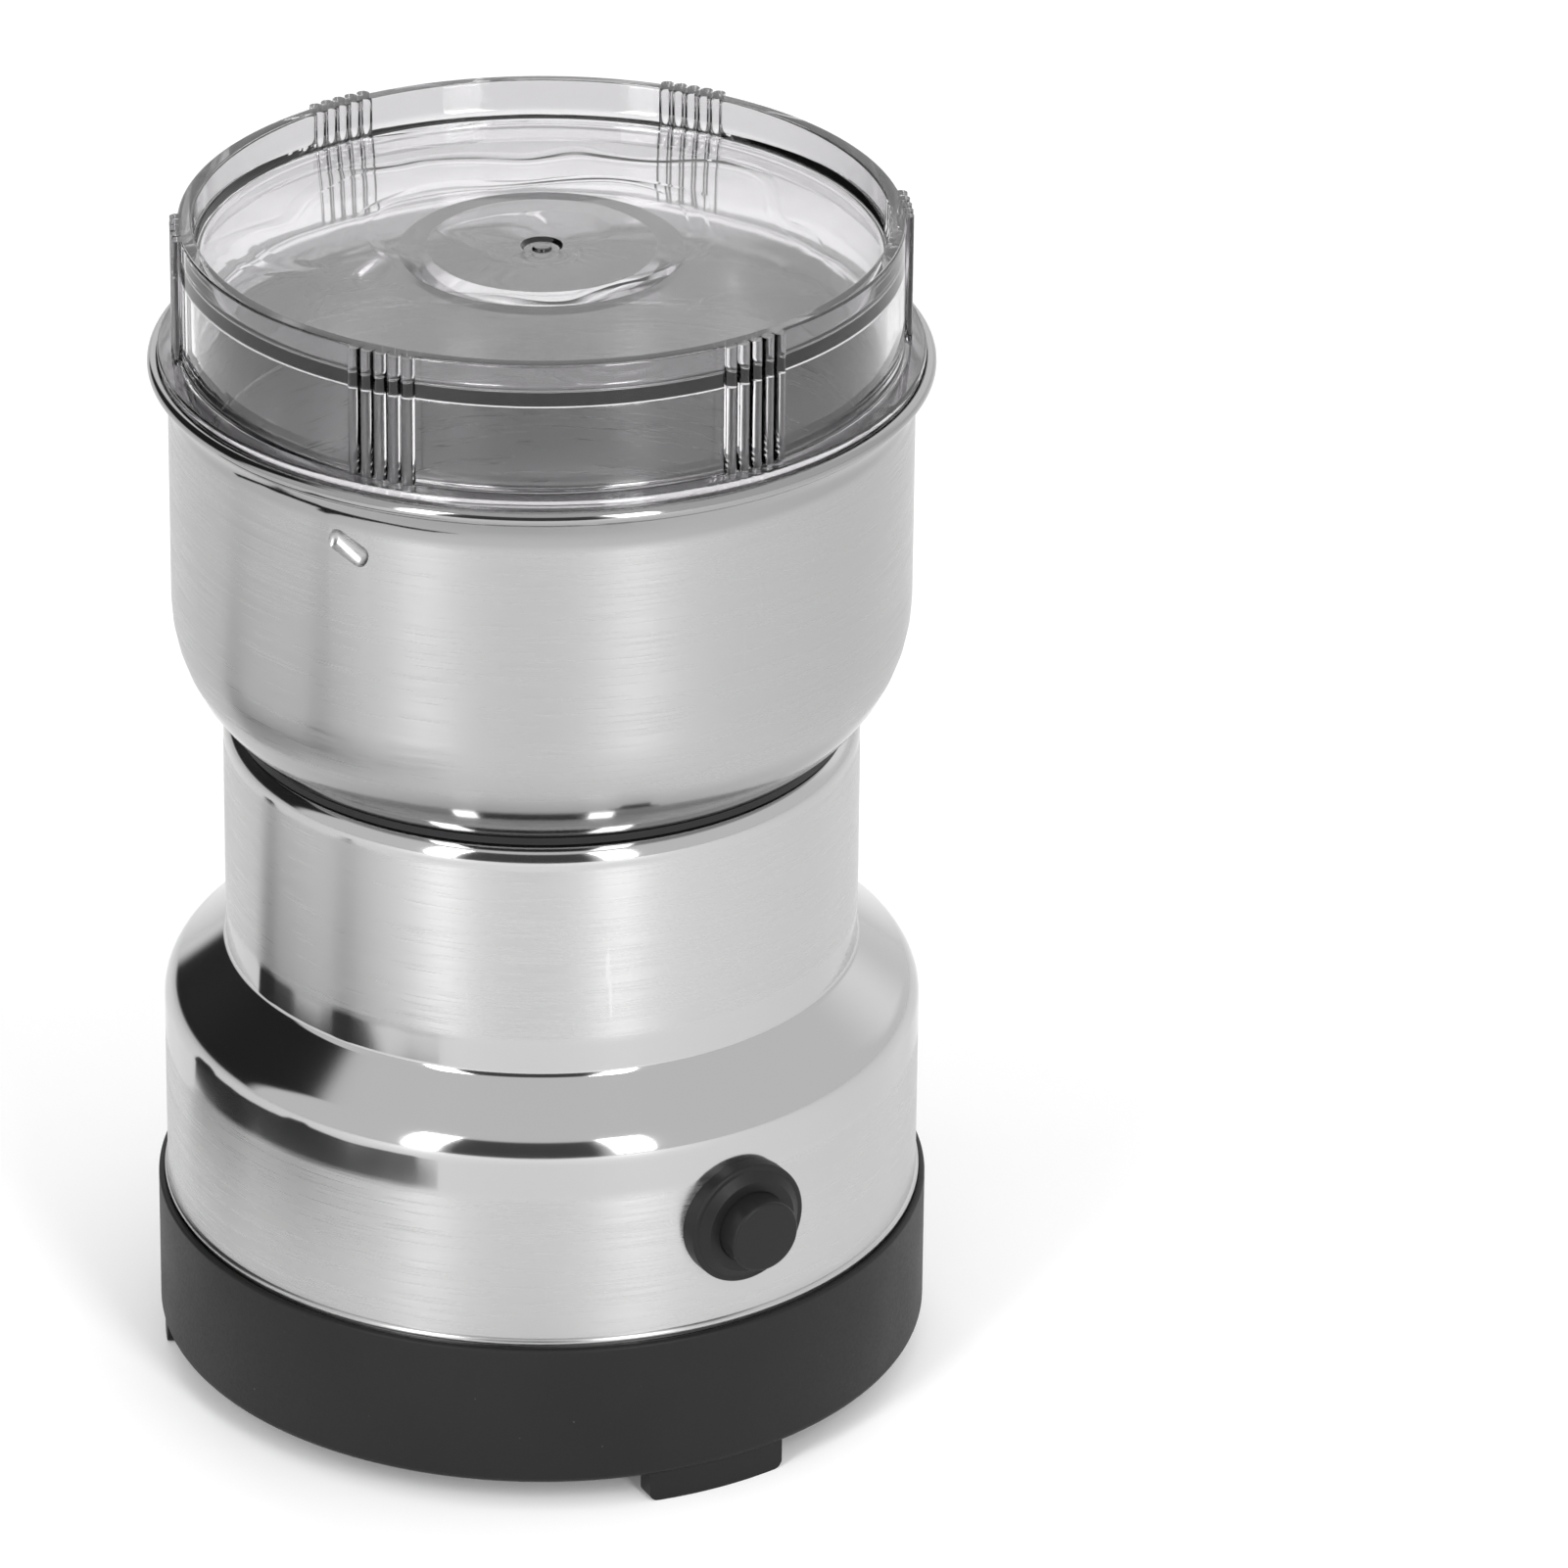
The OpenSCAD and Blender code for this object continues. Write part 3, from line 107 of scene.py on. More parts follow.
class BodySizes(bpy.types.PropertyGroup):
    """Sizes of the plastic base and the steel body"""
    foot_h: length("Foot height", 4, "Height of the feet under the base")
    foot_w: length("Foot width", 20, "Width of a foot along the edge of the base")
    foot_t: length("Foot thickness", 2.6, "Thickness of a foot from outside to inside")
    foot_inset: length("Foot inset", 0.5, "How far a foot stands back from the base")
    foot_round: length("Foot rounding", 1.2, "Rounding of the lower corners of a foot")
    foot_turn: angle("Foot turn", -3.7, "Turn of the feet from the button")
    base_r: length("Base radius", 52.3, "Radius of the plastic base")
    base_top: length("Base top", 24.5, "Height of the top of the base lip")
    base_wall: length("Base wall", 2.6, "Thickness of the base wall")
    base_floor: length("Base floor", 2.5, "Thickness of the base floor")
    base_round: length("Base rounding", 1.2, "Rounding of the lower edge of the base")
    lip_gap: length("Lip gap", 0.15, "Gap between the base lip and the steel")
    ledge_z: length("Ledge", 20.5, "Height of the ledge that carries the steel body")
    tie_r: length("Tie place", 32.5, "Distance of the tie posts from the axis")
    post_r: length("Tie post", 5, "Radius of a tie post")
    post_top: length("Tie post top", 49, "Height of the top of a tie post")
    well_r: length("Screw well", 3.8, "Radius of the well for a screw head")
    well_top: length("Screw well top", 11.5, "Height of the seat of a screw head")
    screw_hole_r: length("Screw hole", 2.185, "Radius of a screw hole")
    vent_r: length("Vent place", 18, "Distance of the vent slots from the axis")
    vent_l: length("Vent length", 12, "Length of a vent slot")
    vent_w: length("Vent width", 2.2, "Width of a vent slot")
    inlet_z: length("Inlet height", 14, "Height of the cord inlet")
    inlet_hole_r: length("Inlet hole", 5.2, "Radius of the hole for the rubber bush")
    shell_r: length("Body radius", 51.05, "Outer radius of the lower steel body")
    sheet: length("Sheet", 0.8, "Thickness of the steel sheet")
    hem_r: length("Hem", 0.5, "Radius of the hem bead")
    hem_out: length("Hem height", 0.4, "How far the hem bead stands out")
    hem_z: length("Hem place", 25.2, "Height of the hem bead")
    shoulder_z: length("Shoulder", 54, "Height where the lower wall bends in")
    shoulder_round: length("Shoulder rounding", 5.1, "Rounding of the bend over the wall")
    neck_r: length("Neck radius", 42.6, "Radius of the neck")
    neck_z: length("Neck root", 60.6, "Height where the shoulder meets the neck")
    neck_round: length("Neck root rounding", 1.2, "Rounding where the shoulder meets the neck")
    neck_top: length("Neck top", 94, "Height of the top of the neck")
    neck_top_round: length("Neck top rounding", 2.7, "Rounding of the upper edge of the neck")
    neck_open_r: length("Neck opening", 37.5, "Radius of the opening in the neck")
    button_hole_r: length("Button hole", 7.6, "Radius of the hole for the button housing")


class BowlSizes(bpy.types.PropertyGroup):
    """Sizes of the steel bowl"""
    low: length("Underside", 95, "Height of the underside of the bowl")
    wall_r: length("Radius", 49.2, "Radius of the bowl wall")
    floor_r: length("Floor radius", 41.4, "Radius of the flat floor")
    slope_h: length("Slope height", 7.2, "Height of the sloping corner")
    floor_round: length("Floor rounding", 2.2, "Rounding between the floor and the slope")
    corner_round: length("Corner rounding", 21.4, "Rounding between the slope and the wall")
    rim_z: length("Rim height", 145.2, "Height of the middle of the rolled rim")
    rim_r: length("Rim radius", 51.85, "Outer radius of the rolled rim")
    bead: length("Rim bead", 1, "Radius of the roll of the rim")
    flare_h: length("Flare height", 3.4, "Height over which the wall flares out")
    sheet: length("Sheet", 0.8, "Thickness of the steel sheet")
    shaft_hole_r: length("Seal hole", 7.05, "Radius of the hole for the seal")
    screw_place: length("Screw place", 17, "Distance of the bowl screws from the axis")
    screw_hole_r: length("Screw hole", 2.2, "Radius of a screw hole in the floor")
    dent_r: length("Dent tool", 1.75, "Radius of the tool that pressed the dents")
    dent_depth: length("Dent depth", 1, "How deep a dent is pressed")
    dent_l: length("Dent length", 6.2, "Length of a dent")
    dent_down: length("Dent place", 8, "Height of the dents under the rim")
    dent_turn: angle("Dent turn", -61.2, "Turn of the dents from the button")
    dent_slant: angle("Dent slant", 25, "Slant of the dents")


class LidSizes(bpy.types.PropertyGroup):
    """Sizes of the clear lid"""
    low: length("Flange underside", 146.4, "Height of the underside of the flange")
    top: length("Top", 165, "Height of the top of the lid")
    wall_r: length("Radius", 47.6, "Radius of the lid wall")
    rim_t: length("Rim thickness", 2, "Thickness of the rim over the panel")
    panel_top: length("Panel top", 160.3, "Height of the recessed panel")
    panel_t: length("Panel thickness", 1.7, "Thickness of the panel")
    disc_r: length("Disc radius", 16.9, "Radius of the raised disc")
    disc_h: length("Disc height", 0.55, "Height of the raised disc")
    disc_slope: length("Disc slope", 3.6, "Width of the slope round the disc")
    gate_r: length("Gate radius", 2.8, "Radius of the moulding mark")
    gate_depth: length("Gate depth", 0.5, "Depth of the moulding mark")
    nub_r: length("Gate nub", 1.1, "Radius of the nub in the moulding mark")
    nub_h: length("Gate nub height", 0.35, "Height of the nub in the moulding mark")
    flange_r: length("Flange radius", 50.5, "Radius of the flange")
    flange_t: length("Flange thickness", 1, "Thickness of the flange")
    skirt_r: length("Skirt radius", 46.9, "Radius of the skirt inside the bowl")
    skirt_t: length("Skirt thickness", 1.6, "Thickness of the skirt")
    skirt_h: length("Skirt height", 15.4, "Height of the skirt")
    edge_round: length("Edge rounding", 0.35, "Rounding of the outer edges")
    root_round: length("Root rounding", 0.7, "Rounding of the inner corners")
    panel_round: length("Panel rounding", 1.4, "Rounding at the edge of the panel")
    disc_round: length("Disc rounding", 1.6, "Rounding of the slope round the disc")
    rib_r: length("Rib radius", 0.85, "Radius of a grip rib")
    rib_sink: length("Rib offset", 0.15, "How far a rib's axis is outside the wall")
    rib_pitch: length("Rib pitch", 1.9, "Distance from one rib to the next")
    rib_groups: IntProperty(name="Rib groups", description="Number of groups of ribs", default=6)
    ribs: IntProperty(name="Ribs", description="Number of ribs in a group", default=5)
    rib_turn: angle("Rib turn", 3.7, "Turn of the rib groups from the button")
    lug_out: length("Lug", 1, "How far a lug stands out of the skirt")
    lug_h: length("Lug height", 1.8, "Height of a lug")
    lug_z: length("Lug place", 134.6, "Height of the middle of a lug")
    lug_turn: angle("Lug turn", -88.2, "Turn of the lugs from the button")
    lug_slant: angle("Lug slant", 8.333, "Slant of a lug")
    lug_w: length("Lug width", 17.9, "Width of a lug along the skirt")


class ButtonSizes(bpy.types.PropertyGroup):
    """Sizes of the button and its housing, as distances from the grinder's axis"""
    height: length("Height", 40, "Height of the button's axis")
    flange_r: length("Flange radius", 8.5, "Radius of the flange")
    flange_back: length("Flange back", 50.138, "Distance of the flange's back at its edge")
    flange_front: length("Flange front", 53, "Distance of the flange's front")
    flange_edge: length("Flange edge", 0.4, "Rounding of the flange's edge")
    cone_r: length("Cone radius", 6.5, "Radius of the flat top of the cone")
    cone_front: length("Cone front", 53.9, "Distance of the top of the cone")
    barrel_r: length("Barrel radius", 7.3, "Radius of the barrel in the body")
    barrel_in_r: length("Barrel bore", 6.2, "Radius of the bore of the barrel")
    barrel_back: length("Barrel back", 38.05, "Distance of the back of the barrel")
    stop: length("Stop", 51.44, "Distance of the stop for the button's rim")
    button_r: length("Button radius", 5, "Radius of the button")
    run_gap: length("Running gap", 0.06, "Gap round the button")
    face: length("Button face", 57.4, "Distance of the button's face")
    face_round: length("Button rounding", 0.45, "Rounding of the edge of the button's face")
    rim_r: length("Rim radius", 6.08, "Radius of the button's hidden rim")
    rim_front: length("Rim front", 51.24, "Distance of the front of the hidden rim")
    rim_back: length("Rim back", 49.84, "Distance of the back of the hidden rim")
    stem_r: length("Stem radius", 2, "Radius of the stem")
    stem_back: length("Stem back", 36.85, "Distance of the end of the stem")


class Finish(bpy.types.PropertyGroup):
    """Colours of the finishes"""
    steel: tone("Body steel", (0.475, 0.475, 0.475), "Brushed steel of the body")
    bowl_steel: tone("Bowl steel", (0.405, 0.405, 0.405), "Brushed steel of the bowl")
    plastic: tone("Dark plastic", (0.010, 0.010, 0.010), "Plastic of the base and the button")
    # The rim's darker smoke is painted shade
    rim_smoke_and_shade: tone("Smoky rim", (0.62, 0.61, 0.624), "Clear plastic of the lid's rim and flange")
    clear: tone("Smoky panel", (0.87, 0.86, 0.873), "Clear plastic of the rest of the lid")
    floor: tone("Floor", (0.95, 0.95, 0.95), "The floor under the grinder")


class StageSettings(bpy.types.PropertyGroup):
    """Camera, floor and light"""
    target_z: length("Target height", 87, "Height of the point that the camera looks at")
    distance: length("Camera distance", 1342, "Distance of the camera from its target")
    elevation: angle("Camera elevation", 26.51, "Elevation of the camera")
    azimuth: angle("Camera azimuth", -31, "Turn of the camera from the button")
    lens: number("Lens", 230.1, "Focal length in millimetres")
    shift_x: number("Shift across", 0.1545, "Shift of the frame")
    shift_y: number("Shift up", -0.021, "Shift of the frame")
    floor_w: length("Floor width", 8000, "Width of the floor")
    floor_glow: number("Floor glow", 0.08, "Light that the floor gives off")
    sky: number("Sky", 1.02, "Strength of the studio's walls")
    back_light: number("Back light", 0.3, "Extra light from behind")
    lamps: number("Lamps", 7, "Power of a strip light in watts")


def unit(x, y):
    """The flat vector scaled to length one."""
    size = math.hypot(x, y)
    return x / size, y / size


def corner(a, b, c, r, step):
    """Points of the corner b between a and c, rounded by radius r."""
    if r == 0:
        return [(b[0], b[1])]
    u = unit(a[0] - b[0], a[1] - b[1])
    v = unit(c[0] - b[0], c[1] - b[1])
    half = math.acos(max(-1, min(1, u[0] * v[0] + u[1] * v[1]))) / 2
    w = unit(u[0] + v[0], u[1] + v[1])
    centre = b[0] + w[0] * r / math.sin(half), b[1] + w[1] * r / math.sin(half)
    start = (b[0] + u[0] * r / math.tan(half) - centre[0],
             b[1] + u[1] * r / math.tan(half) - centre[1])
    sweep = math.pi - 2 * half
    steps = max(3, math.ceil(sweep / math.radians(step)))
    way = -1 if u[0] * v[1] - u[1] * v[0] > 0 else 1
    points = []
    for i in range(steps + 1):
        turn = way * sweep * i / steps
        points.append((centre[0] + start[0] * math.cos(turn) - start[1] * math.sin(turn),
                       centre[1] + start[0] * math.sin(turn) + start[1] * math.cos(turn)))
    return points


def rounded(path, step=9):
    """Closed outline through points (x, y, rounding)."""
    count = len(path)
    points = []
    for i, point in enumerate(path):
        points += corner(path[i - 1], point, path[(i + 1) % count], point[2], step)
    return points


def moved_left(path, d):
    """Open outline moved to its left by d, with its roundings kept concentric."""
    last = len(path) - 1
    moved = []
    for i, point in enumerate(path):
        p, q = max(i, 1), min(i, last - 1)
        before = unit(path[p][0] - path[p - 1][0], path[p][1] - path[p - 1][1])
        after = unit(path[q + 1][0] - path[q][0], path[q + 1][1] - path[q][1])
        dot = before[0] * after[0] + before[1] * after[1]
        share = d / (1 + dot)
        x = point[0] - (before[1] + after[1]) * share
        y = point[1] + (before[0] + after[0]) * share
        left = before[0] * after[1] - before[1] * after[0] > 0
        r = point[2]
        moved.append((x, y, 0 if r == 0 else r - d if left else r + d))
    return moved


def arc(x, y, r, start, end, steps):
    """Points along an arc round (x, y) between two angles."""
    turns = [start + (end - start) * i / steps for i in range(steps + 1)]
    return [(x + r * math.cos(turn), y + r * math.sin(turn)) for turn in turns]


def oblong(a, b, low, high):
    """Outline of a rectangle between two radii and two heights."""
    return [(a, low), (b, low), (b, high), (a, high)]


def choose(obj):
    """Selects one object alone and makes it active."""
    bpy.ops.object.select_all(action="DESELECT")
    obj.select_set(True)
    bpy.context.view_layer.objects.active = obj


def edit(obj):
    """Opens a mesh for editing with all of it selected."""
    choose(obj)
    bpy.ops.object.mode_set(mode="EDIT")
    bpy.ops.mesh.select_all(action="SELECT")


def done():
    """Closes the mesh that is open for editing."""
    bpy.ops.object.mode_set(mode="OBJECT")


def merge_all():
    """Merges the points of the open mesh that coincide."""
    bpy.ops.mesh.select_all(action="SELECT")
    bpy.ops.mesh.remove_doubles(threshold=MERGE_GAP)


def draw(name, points):
    """A line of edges through points, begun as a plane merged to one point, left open."""
    bpy.ops.object.select_all(action="DESELECT")
    bpy.ops.mesh.primitive_plane_add(size=0.01, location=(0, 0, 0))
    obj = bpy.context.object
    obj.name = name
    obj.data.name = name
    edit(obj)
    bpy.ops.mesh.merge(type="CENTER")
    bpy.ops.transform.translate(value=points[0])
    for a, b in zip(points, points[1:]):
        bpy.ops.mesh.extrude_region_move(TRANSFORM_OT_translate={"value": Vector(b) - Vector(a)})
    merge_all()
    return obj


def close_up():
    """Merges the open mesh, turns its faces outwards and closes it."""
    merge_all()
    bpy.ops.mesh.normals_make_consistent(inside=False)
    done()


def lathe(name, outline, segments, button_height=None):
    """Spins an outline of (radius, height) points round the Z axis, or round the button's axis."""
    closed = outline[0][0] > 0 or outline[-1][0] > 0
    ring = outline + outline[:1] if closed else outline
    if button_height is None:
        points = [(r, 0, h) for r, h in ring]
        centre, axis = (0, 0, 0), (0, 0, 1)
    else:
        points = [(r, -h, button_height) for r, h in ring]
        centre, axis = (0, 0, button_height), (0, 1, 0)
    obj = draw(name, points)
    bpy.ops.mesh.spin(steps=segments, angle=FULL_TURN, center=centre, axis=axis)
    close_up()
    return obj


def prism(name, outline, depth):
    """A solid over an outline of points in space, drawn out by a vector."""
    obj = draw(name, outline + outline[:1])
    bpy.ops.mesh.edge_face_add()
    bpy.ops.mesh.extrude_region_move(TRANSFORM_OT_translate={"value": depth})
    close_up()
    return obj


def around(obj, count):
    """Copies the whole mesh round the Z axis until there are count of it."""
    edit(obj)
    for _ in range(count - 1):
        bpy.ops.mesh.duplicate()
        bpy.ops.transform.rotate(value=FULL_TURN / count, orient_axis="Z",
                                 orient_type="GLOBAL", center_override=(0, 0, 0))
    done()


def combine(obj, tool, operation, count=1):
    """Adds, cuts away or intersects a tool, set count times round the axis and then removed."""
    if count > 1:
        around(tool, count)
    choose(obj)
    bpy.ops.object.modifier_add(type="BOOLEAN")
    modifier = obj.modifiers[-1]
    modifier.operation = operation
    modifier.object = tool
    modifier.solver = "MANIFOLD"
    bpy.ops.object.modifier_apply(modifier=modifier.name)
    bpy.data.objects.remove(tool)
    if not obj.data.polygons:
        raise RuntimeError(obj.name + " is empty after " + operation)


def pin(name, r, low, high, x=0, y=0, sides=48):
    """An upright cylinder between two heights."""
    bpy.ops.object.select_all(action="DESELECT")
    bpy.ops.mesh.primitive_cylinder_add(vertices=sides, radius=r, depth=high - low,
                                        location=(0, 0, 0))
    obj = bpy.context.object
    obj.name = name
    edit(obj)
    bpy.ops.transform.translate(value=(x, y, (low + high) / 2))
    done()
    return obj


def spot(turn, r):
    """Place at an angle from the button, seen from above, counted towards +X."""
    return r * math.sin(turn), -r * math.cos(turn)


def slab(name, turn, start, depth, face):
    """A block over a face of (sideways, height) points, drawn outwards at an angle."""
    out = Vector((*spot(turn, 1), 0))
    side = Vector((-out.y, out.x, 0))
    return prism(name, [out * start + side * x + Vector((0, 0, z)) for x, z in face],
                 out * depth)


def finish_piece(obj, finish, body, node):
    """Shades a piece, gives it its finish and ties it to the frame."""
    choose(obj)
    bpy.ops.object.shade_smooth_by_angle(angle=SHARP_EDGE)
    obj.data.materials.clear()
    obj.data.materials.append(MATERIALS[finish])
    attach(obj, body)
    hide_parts(node)


class NodeTools:
    """Adds nodes to a tree, with a value or a socket at each input"""

    def __init__(self, tree):
        self.tree = tree

    def feed(self, socket, value):
        """Links a socket to an input, or sets the input's value."""
        if isinstance(value, bpy.types.NodeSocket):
            self.tree.links.new(value, socket)
        else:
            socket.default_value = value

    def node(self, kind, inputs=None, **settings):
        """Adds a node, sets it up and feeds its inputs."""
        node = self.tree.nodes.new("ShaderNode" + kind)
        for key, value in settings.items():
            setattr(node, key, value)
        for key, value in (inputs or {}).items():
            self.feed(node.inputs[key], value)
        return node

    def math(self, operation, a, b=0.0):
        """The result of an operation on one or two values."""
        return self.node("Math", {0: a, 1: b}, operation=operation).outputs[0]

    def plus(self, a, b):
        """The sum of two values."""
        return self.math("ADD", a, b)

    def times(self, a, b):
        """The product of two values."""
        return self.math("MULTIPLY", a, b)

    def ramp(self, value, low, high, start=0.0, end=1.0, kind="LINEAR"):
        """Maps a value from low..high to start..end, held at the ends."""
        return self.node("MapRange", {"Value": value, "From Min": low, "From Max": high,
                                      "To Min": start, "To Max": end},
                         interpolation_type=kind).outputs["Result"]

    def window(self, value, low, high, soft):
        """One between low and high and nought outside, with soft edges."""
        rise = self.ramp(value, low - soft, low + soft, kind="SMOOTHSTEP")
        fall = self.ramp(value, high - soft, high + soft, kind="SMOOTHSTEP")
        return self.math("SUBTRACT", rise, fall)

    def mix(self, share, a, b):
        """Mixes two colours, given as tuples or sockets."""
        node = self.node("Mix", data_type="RGBA")
        for name, value in (("Factor_Float", share), ("A_Color", a), ("B_Color", b)):
            socket = next(s for s in node.inputs if s.identifier == name)
            self.feed(socket, (*value, 1) if isinstance(value, tuple) else value)
        return next(s for s in node.outputs if s.identifier == "Result_Color")


class Paint(NodeTools):
    """A material under construction"""

    def __init__(self, name, colour, roughness, metallic=0.0):
        self.material = bpy.data.materials.new(name)
        self.material.use_nodes = True
        super().__init__(self.material.node_tree)
        self.shader = self.tree.nodes["Principled BSDF"]
        self.set("Base Color", (*colour, 1))
        self.set("Roughness", roughness)
        self.set("Metallic", metallic)
        places = self.node("TexCoord")
        self.coords = places.outputs["Object"]
        self.normal = places.outputs["Normal"]

    def set(self, name, value):
        """Sets or links an input of the shader itself."""
        self.feed(self.shader.inputs[name], value)

    def stretched(self, scale, turn=(0, 0, 0)):
        """The object's coordinates, scaled and turned."""
        return self.node("Mapping", {"Vector": self.coords, "Scale": scale,
                                     "Rotation": turn}).outputs["Vector"]

    def noise(self, scale, detail, rough, stretch=(1, 1, 1), turn=(0, 0, 0)):
        """A noise of a scale per metre."""
        return self.node("TexNoise", {"Vector": self.stretched(stretch, turn), "Scale": scale,
                                      "Detail": detail, "Roughness": rough}).outputs["Fac"]

    def height(self):
        """Height above the floor, in metres."""
        return self.node("SeparateXYZ", {"Vector": self.coords}).outputs["Z"]

    def bump(self, height, strength, distance, **below):
        """Bumps the surface by a height from 0 to 1 over a distance in metres."""
        return self.node("Bump", {"Height": height, "Strength": strength, "Distance": distance,
                                  **below}).outputs["Normal"]


def toned(colour, share):
    """A colour times a share, with no channel over one."""
    return tuple(min(1, share * c) for c in colour)


def brushed_steel(name, colour, polished_shaded, painted_shade, inside=None):
    """Steel brushed round its axis, polished in bands (low, high, softness) whose colour is darkened
    as painted shade.

    A vessel's inside is brightened as painted light, given as (height of its middle, share).
    """
    p = Paint(name, colour, 0.3, 1.0)
    lines = p.noise(1, 3, 0.6, (70, 70, 3200))
    fine = p.noise(1, 2, 0.5, (160, 160, 9000))
    smear = p.noise(18, 3, 0.6)
    scratch = p.ramp(p.noise(1, 2, 0.5, (900, 900, 60), (0.5, 0.35, 0.2)), 0.70, 0.78)
    height = p.height()
    polish_and_shade_mask = 0.0
    for low, high, soft in polished_shaded:
        polish_and_shade_mask = p.math("MAXIMUM", polish_and_shade_mask, p.window(height, low, high, soft))
    rough = p.plus(p.ramp(lines, *MIDDLE, 0.24, 0.36), p.ramp(smear, *MIDDLE, -0.02, 0.03))
    rough = p.plus(rough, p.times(scratch, 0.06))
    p.set("Roughness", p.node("Mix", {"Factor": polish_and_shade_mask, "A": rough, "B": 0.1}).outputs["Result"])
    lift = p.plus(p.times(lines, 0.7), p.times(fine, 0.3))
    lift = p.times(lift, p.math("SUBTRACT", 1, p.times(polish_and_shade_mask, 0.85)))
    p.set("Normal", p.bump(lift, 0.22, 0.00001))
    tint = p.mix(p.ramp(lines, 0.35, 0.65), toned(colour, 0.98), colour)
    tint = p.mix(p.times(scratch, 0.2), tint, toned(colour, 1.15))
    # Painted shade: the polished bands are darkened by a share of the colour
    tint = p.mix(polish_and_shade_mask, tint, toned(colour, painted_shade))
    # Painted light: faces that look towards the middle of the vessel are brightened by a share
    if inside:
        middle, share = inside
        away = p.node("VectorMath", {0: p.coords, 1: (0, 0, -middle)}, operation="ADD")
        facing = p.node("VectorMath", {0: away.outputs["Vector"], 1: p.normal},
                        operation="DOT_PRODUCT").outputs["Value"]
        tint = p.mix(p.ramp(facing, -0.002, 0.002), toned(colour, share), tint)
    p.set("Base Color", tint)
    p.set("Anisotropic", 0.75)
    p.set("Anisotropic Rotation", 0.25)
    p.set("Tangent", p.node("Tangent", direction_type="RADIAL", axis="Z").outputs["Tangent"])
    return p.material


def plain_metal(name, colour, roughness, grain=900, depth=0.00002):
    """Turned, cast or pressed metal with fine grain and handling marks."""
    p = Paint(name, colour, roughness, 1.0)
    fine = p.noise(grain, 4, 0.6)
    smear = p.noise(60, 3, 0.6)
    p.set("Roughness", p.plus(p.ramp(smear, *MIDDLE, roughness - 0.06, roughness + 0.08),
                              p.ramp(fine, *MIDDLE, -0.03, 0.03)))
    p.set("Base Color", p.mix(p.ramp(smear, 0.3, 0.75), colour, toned(colour, 0.8)))
    p.set("Normal", p.bump(fine, 0.3, depth))
    return p.material


def laminated(name, colour):
    """Stack of sheets with dark joints between them."""
    p = Paint(name, colour, 0.45, 0.9)
    wave = p.node("TexWave", {"Vector": p.coords, "Scale": 314.0, "Distortion": 0.0},
                  bands_direction="Z").outputs["Fac"]
    joint = p.ramp(wave, 0.0, 0.25, 1, 0)
    stain = p.noise(120, 4, 0.6)
    tint = p.mix(p.ramp(stain, 0.45, 0.75), colour, toned(colour, 0.65))
    p.set("Base Color", p.mix(joint, tint, toned(colour, 0.25)))
    p.set("Roughness", p.ramp(stain, *MIDDLE, 0.35, 0.55))
    p.set("Normal", p.bump(p.math("SUBTRACT", 1, joint), 0.6, 0.00008))
    return p.material


def wound_wire(name, colour):
    """Enamelled winding with its turns side by side."""
    p = Paint(name, colour, 0.3, 0.75)
    wave = p.node("TexWave", {"Vector": p.coords, "Scale": 420.0, "Distortion": 1.2,
                              "Detail": 1.0, "Detail Scale": 0.6},
                  bands_direction="DIAGONAL").outputs["Fac"]
    stain = p.noise(90, 3, 0.6)
    tint = p.mix(p.ramp(stain, 0.4, 0.7), colour, toned(colour, 0.6))
    # Painted shade: the grooves between the turns are darkened
    p.set("Base Color", p.mix(p.ramp(wave, 0, 0.3, 1, 0), tint, toned(colour, 0.2)))
    p.set("Normal", p.bump(wave, 0.8, 0.00015))
    p.set("Coat Weight", 0.5)
    p.set("Coat Roughness", 0.2)
    return p.material


def moulded(name, colour, roughness, grain=1800, depth=0.00003):
    """Moulded plastic or rubber with a fine grain, a few specks and worn patches."""
    p = Paint(name, colour, roughness)
    fine = p.noise(grain, 5, 0.7)
    broad = p.noise(40, 3, 0.55)
    speck = p.ramp(p.noise(1400, 1, 0.5), 0.80, 0.84)
    tint = p.mix(p.ramp(broad, *MIDDLE), toned(colour, 0.88), toned(colour, 1.15))
    p.set("Base Color", p.mix(p.times(speck, 0.4), tint, tuple(0.1 + c for c in colour)))
    p.set("Roughness", p.plus(p.ramp(broad, *MIDDLE, roughness - 0.05, roughness + 0.06),
                              p.ramp(fine, *MIDDLE, -0.05, 0.05)))
    p.set("Normal", p.bump(fine, 0.5, depth))
    p.set("Specular IOR Level", 0.2)
    return p.material


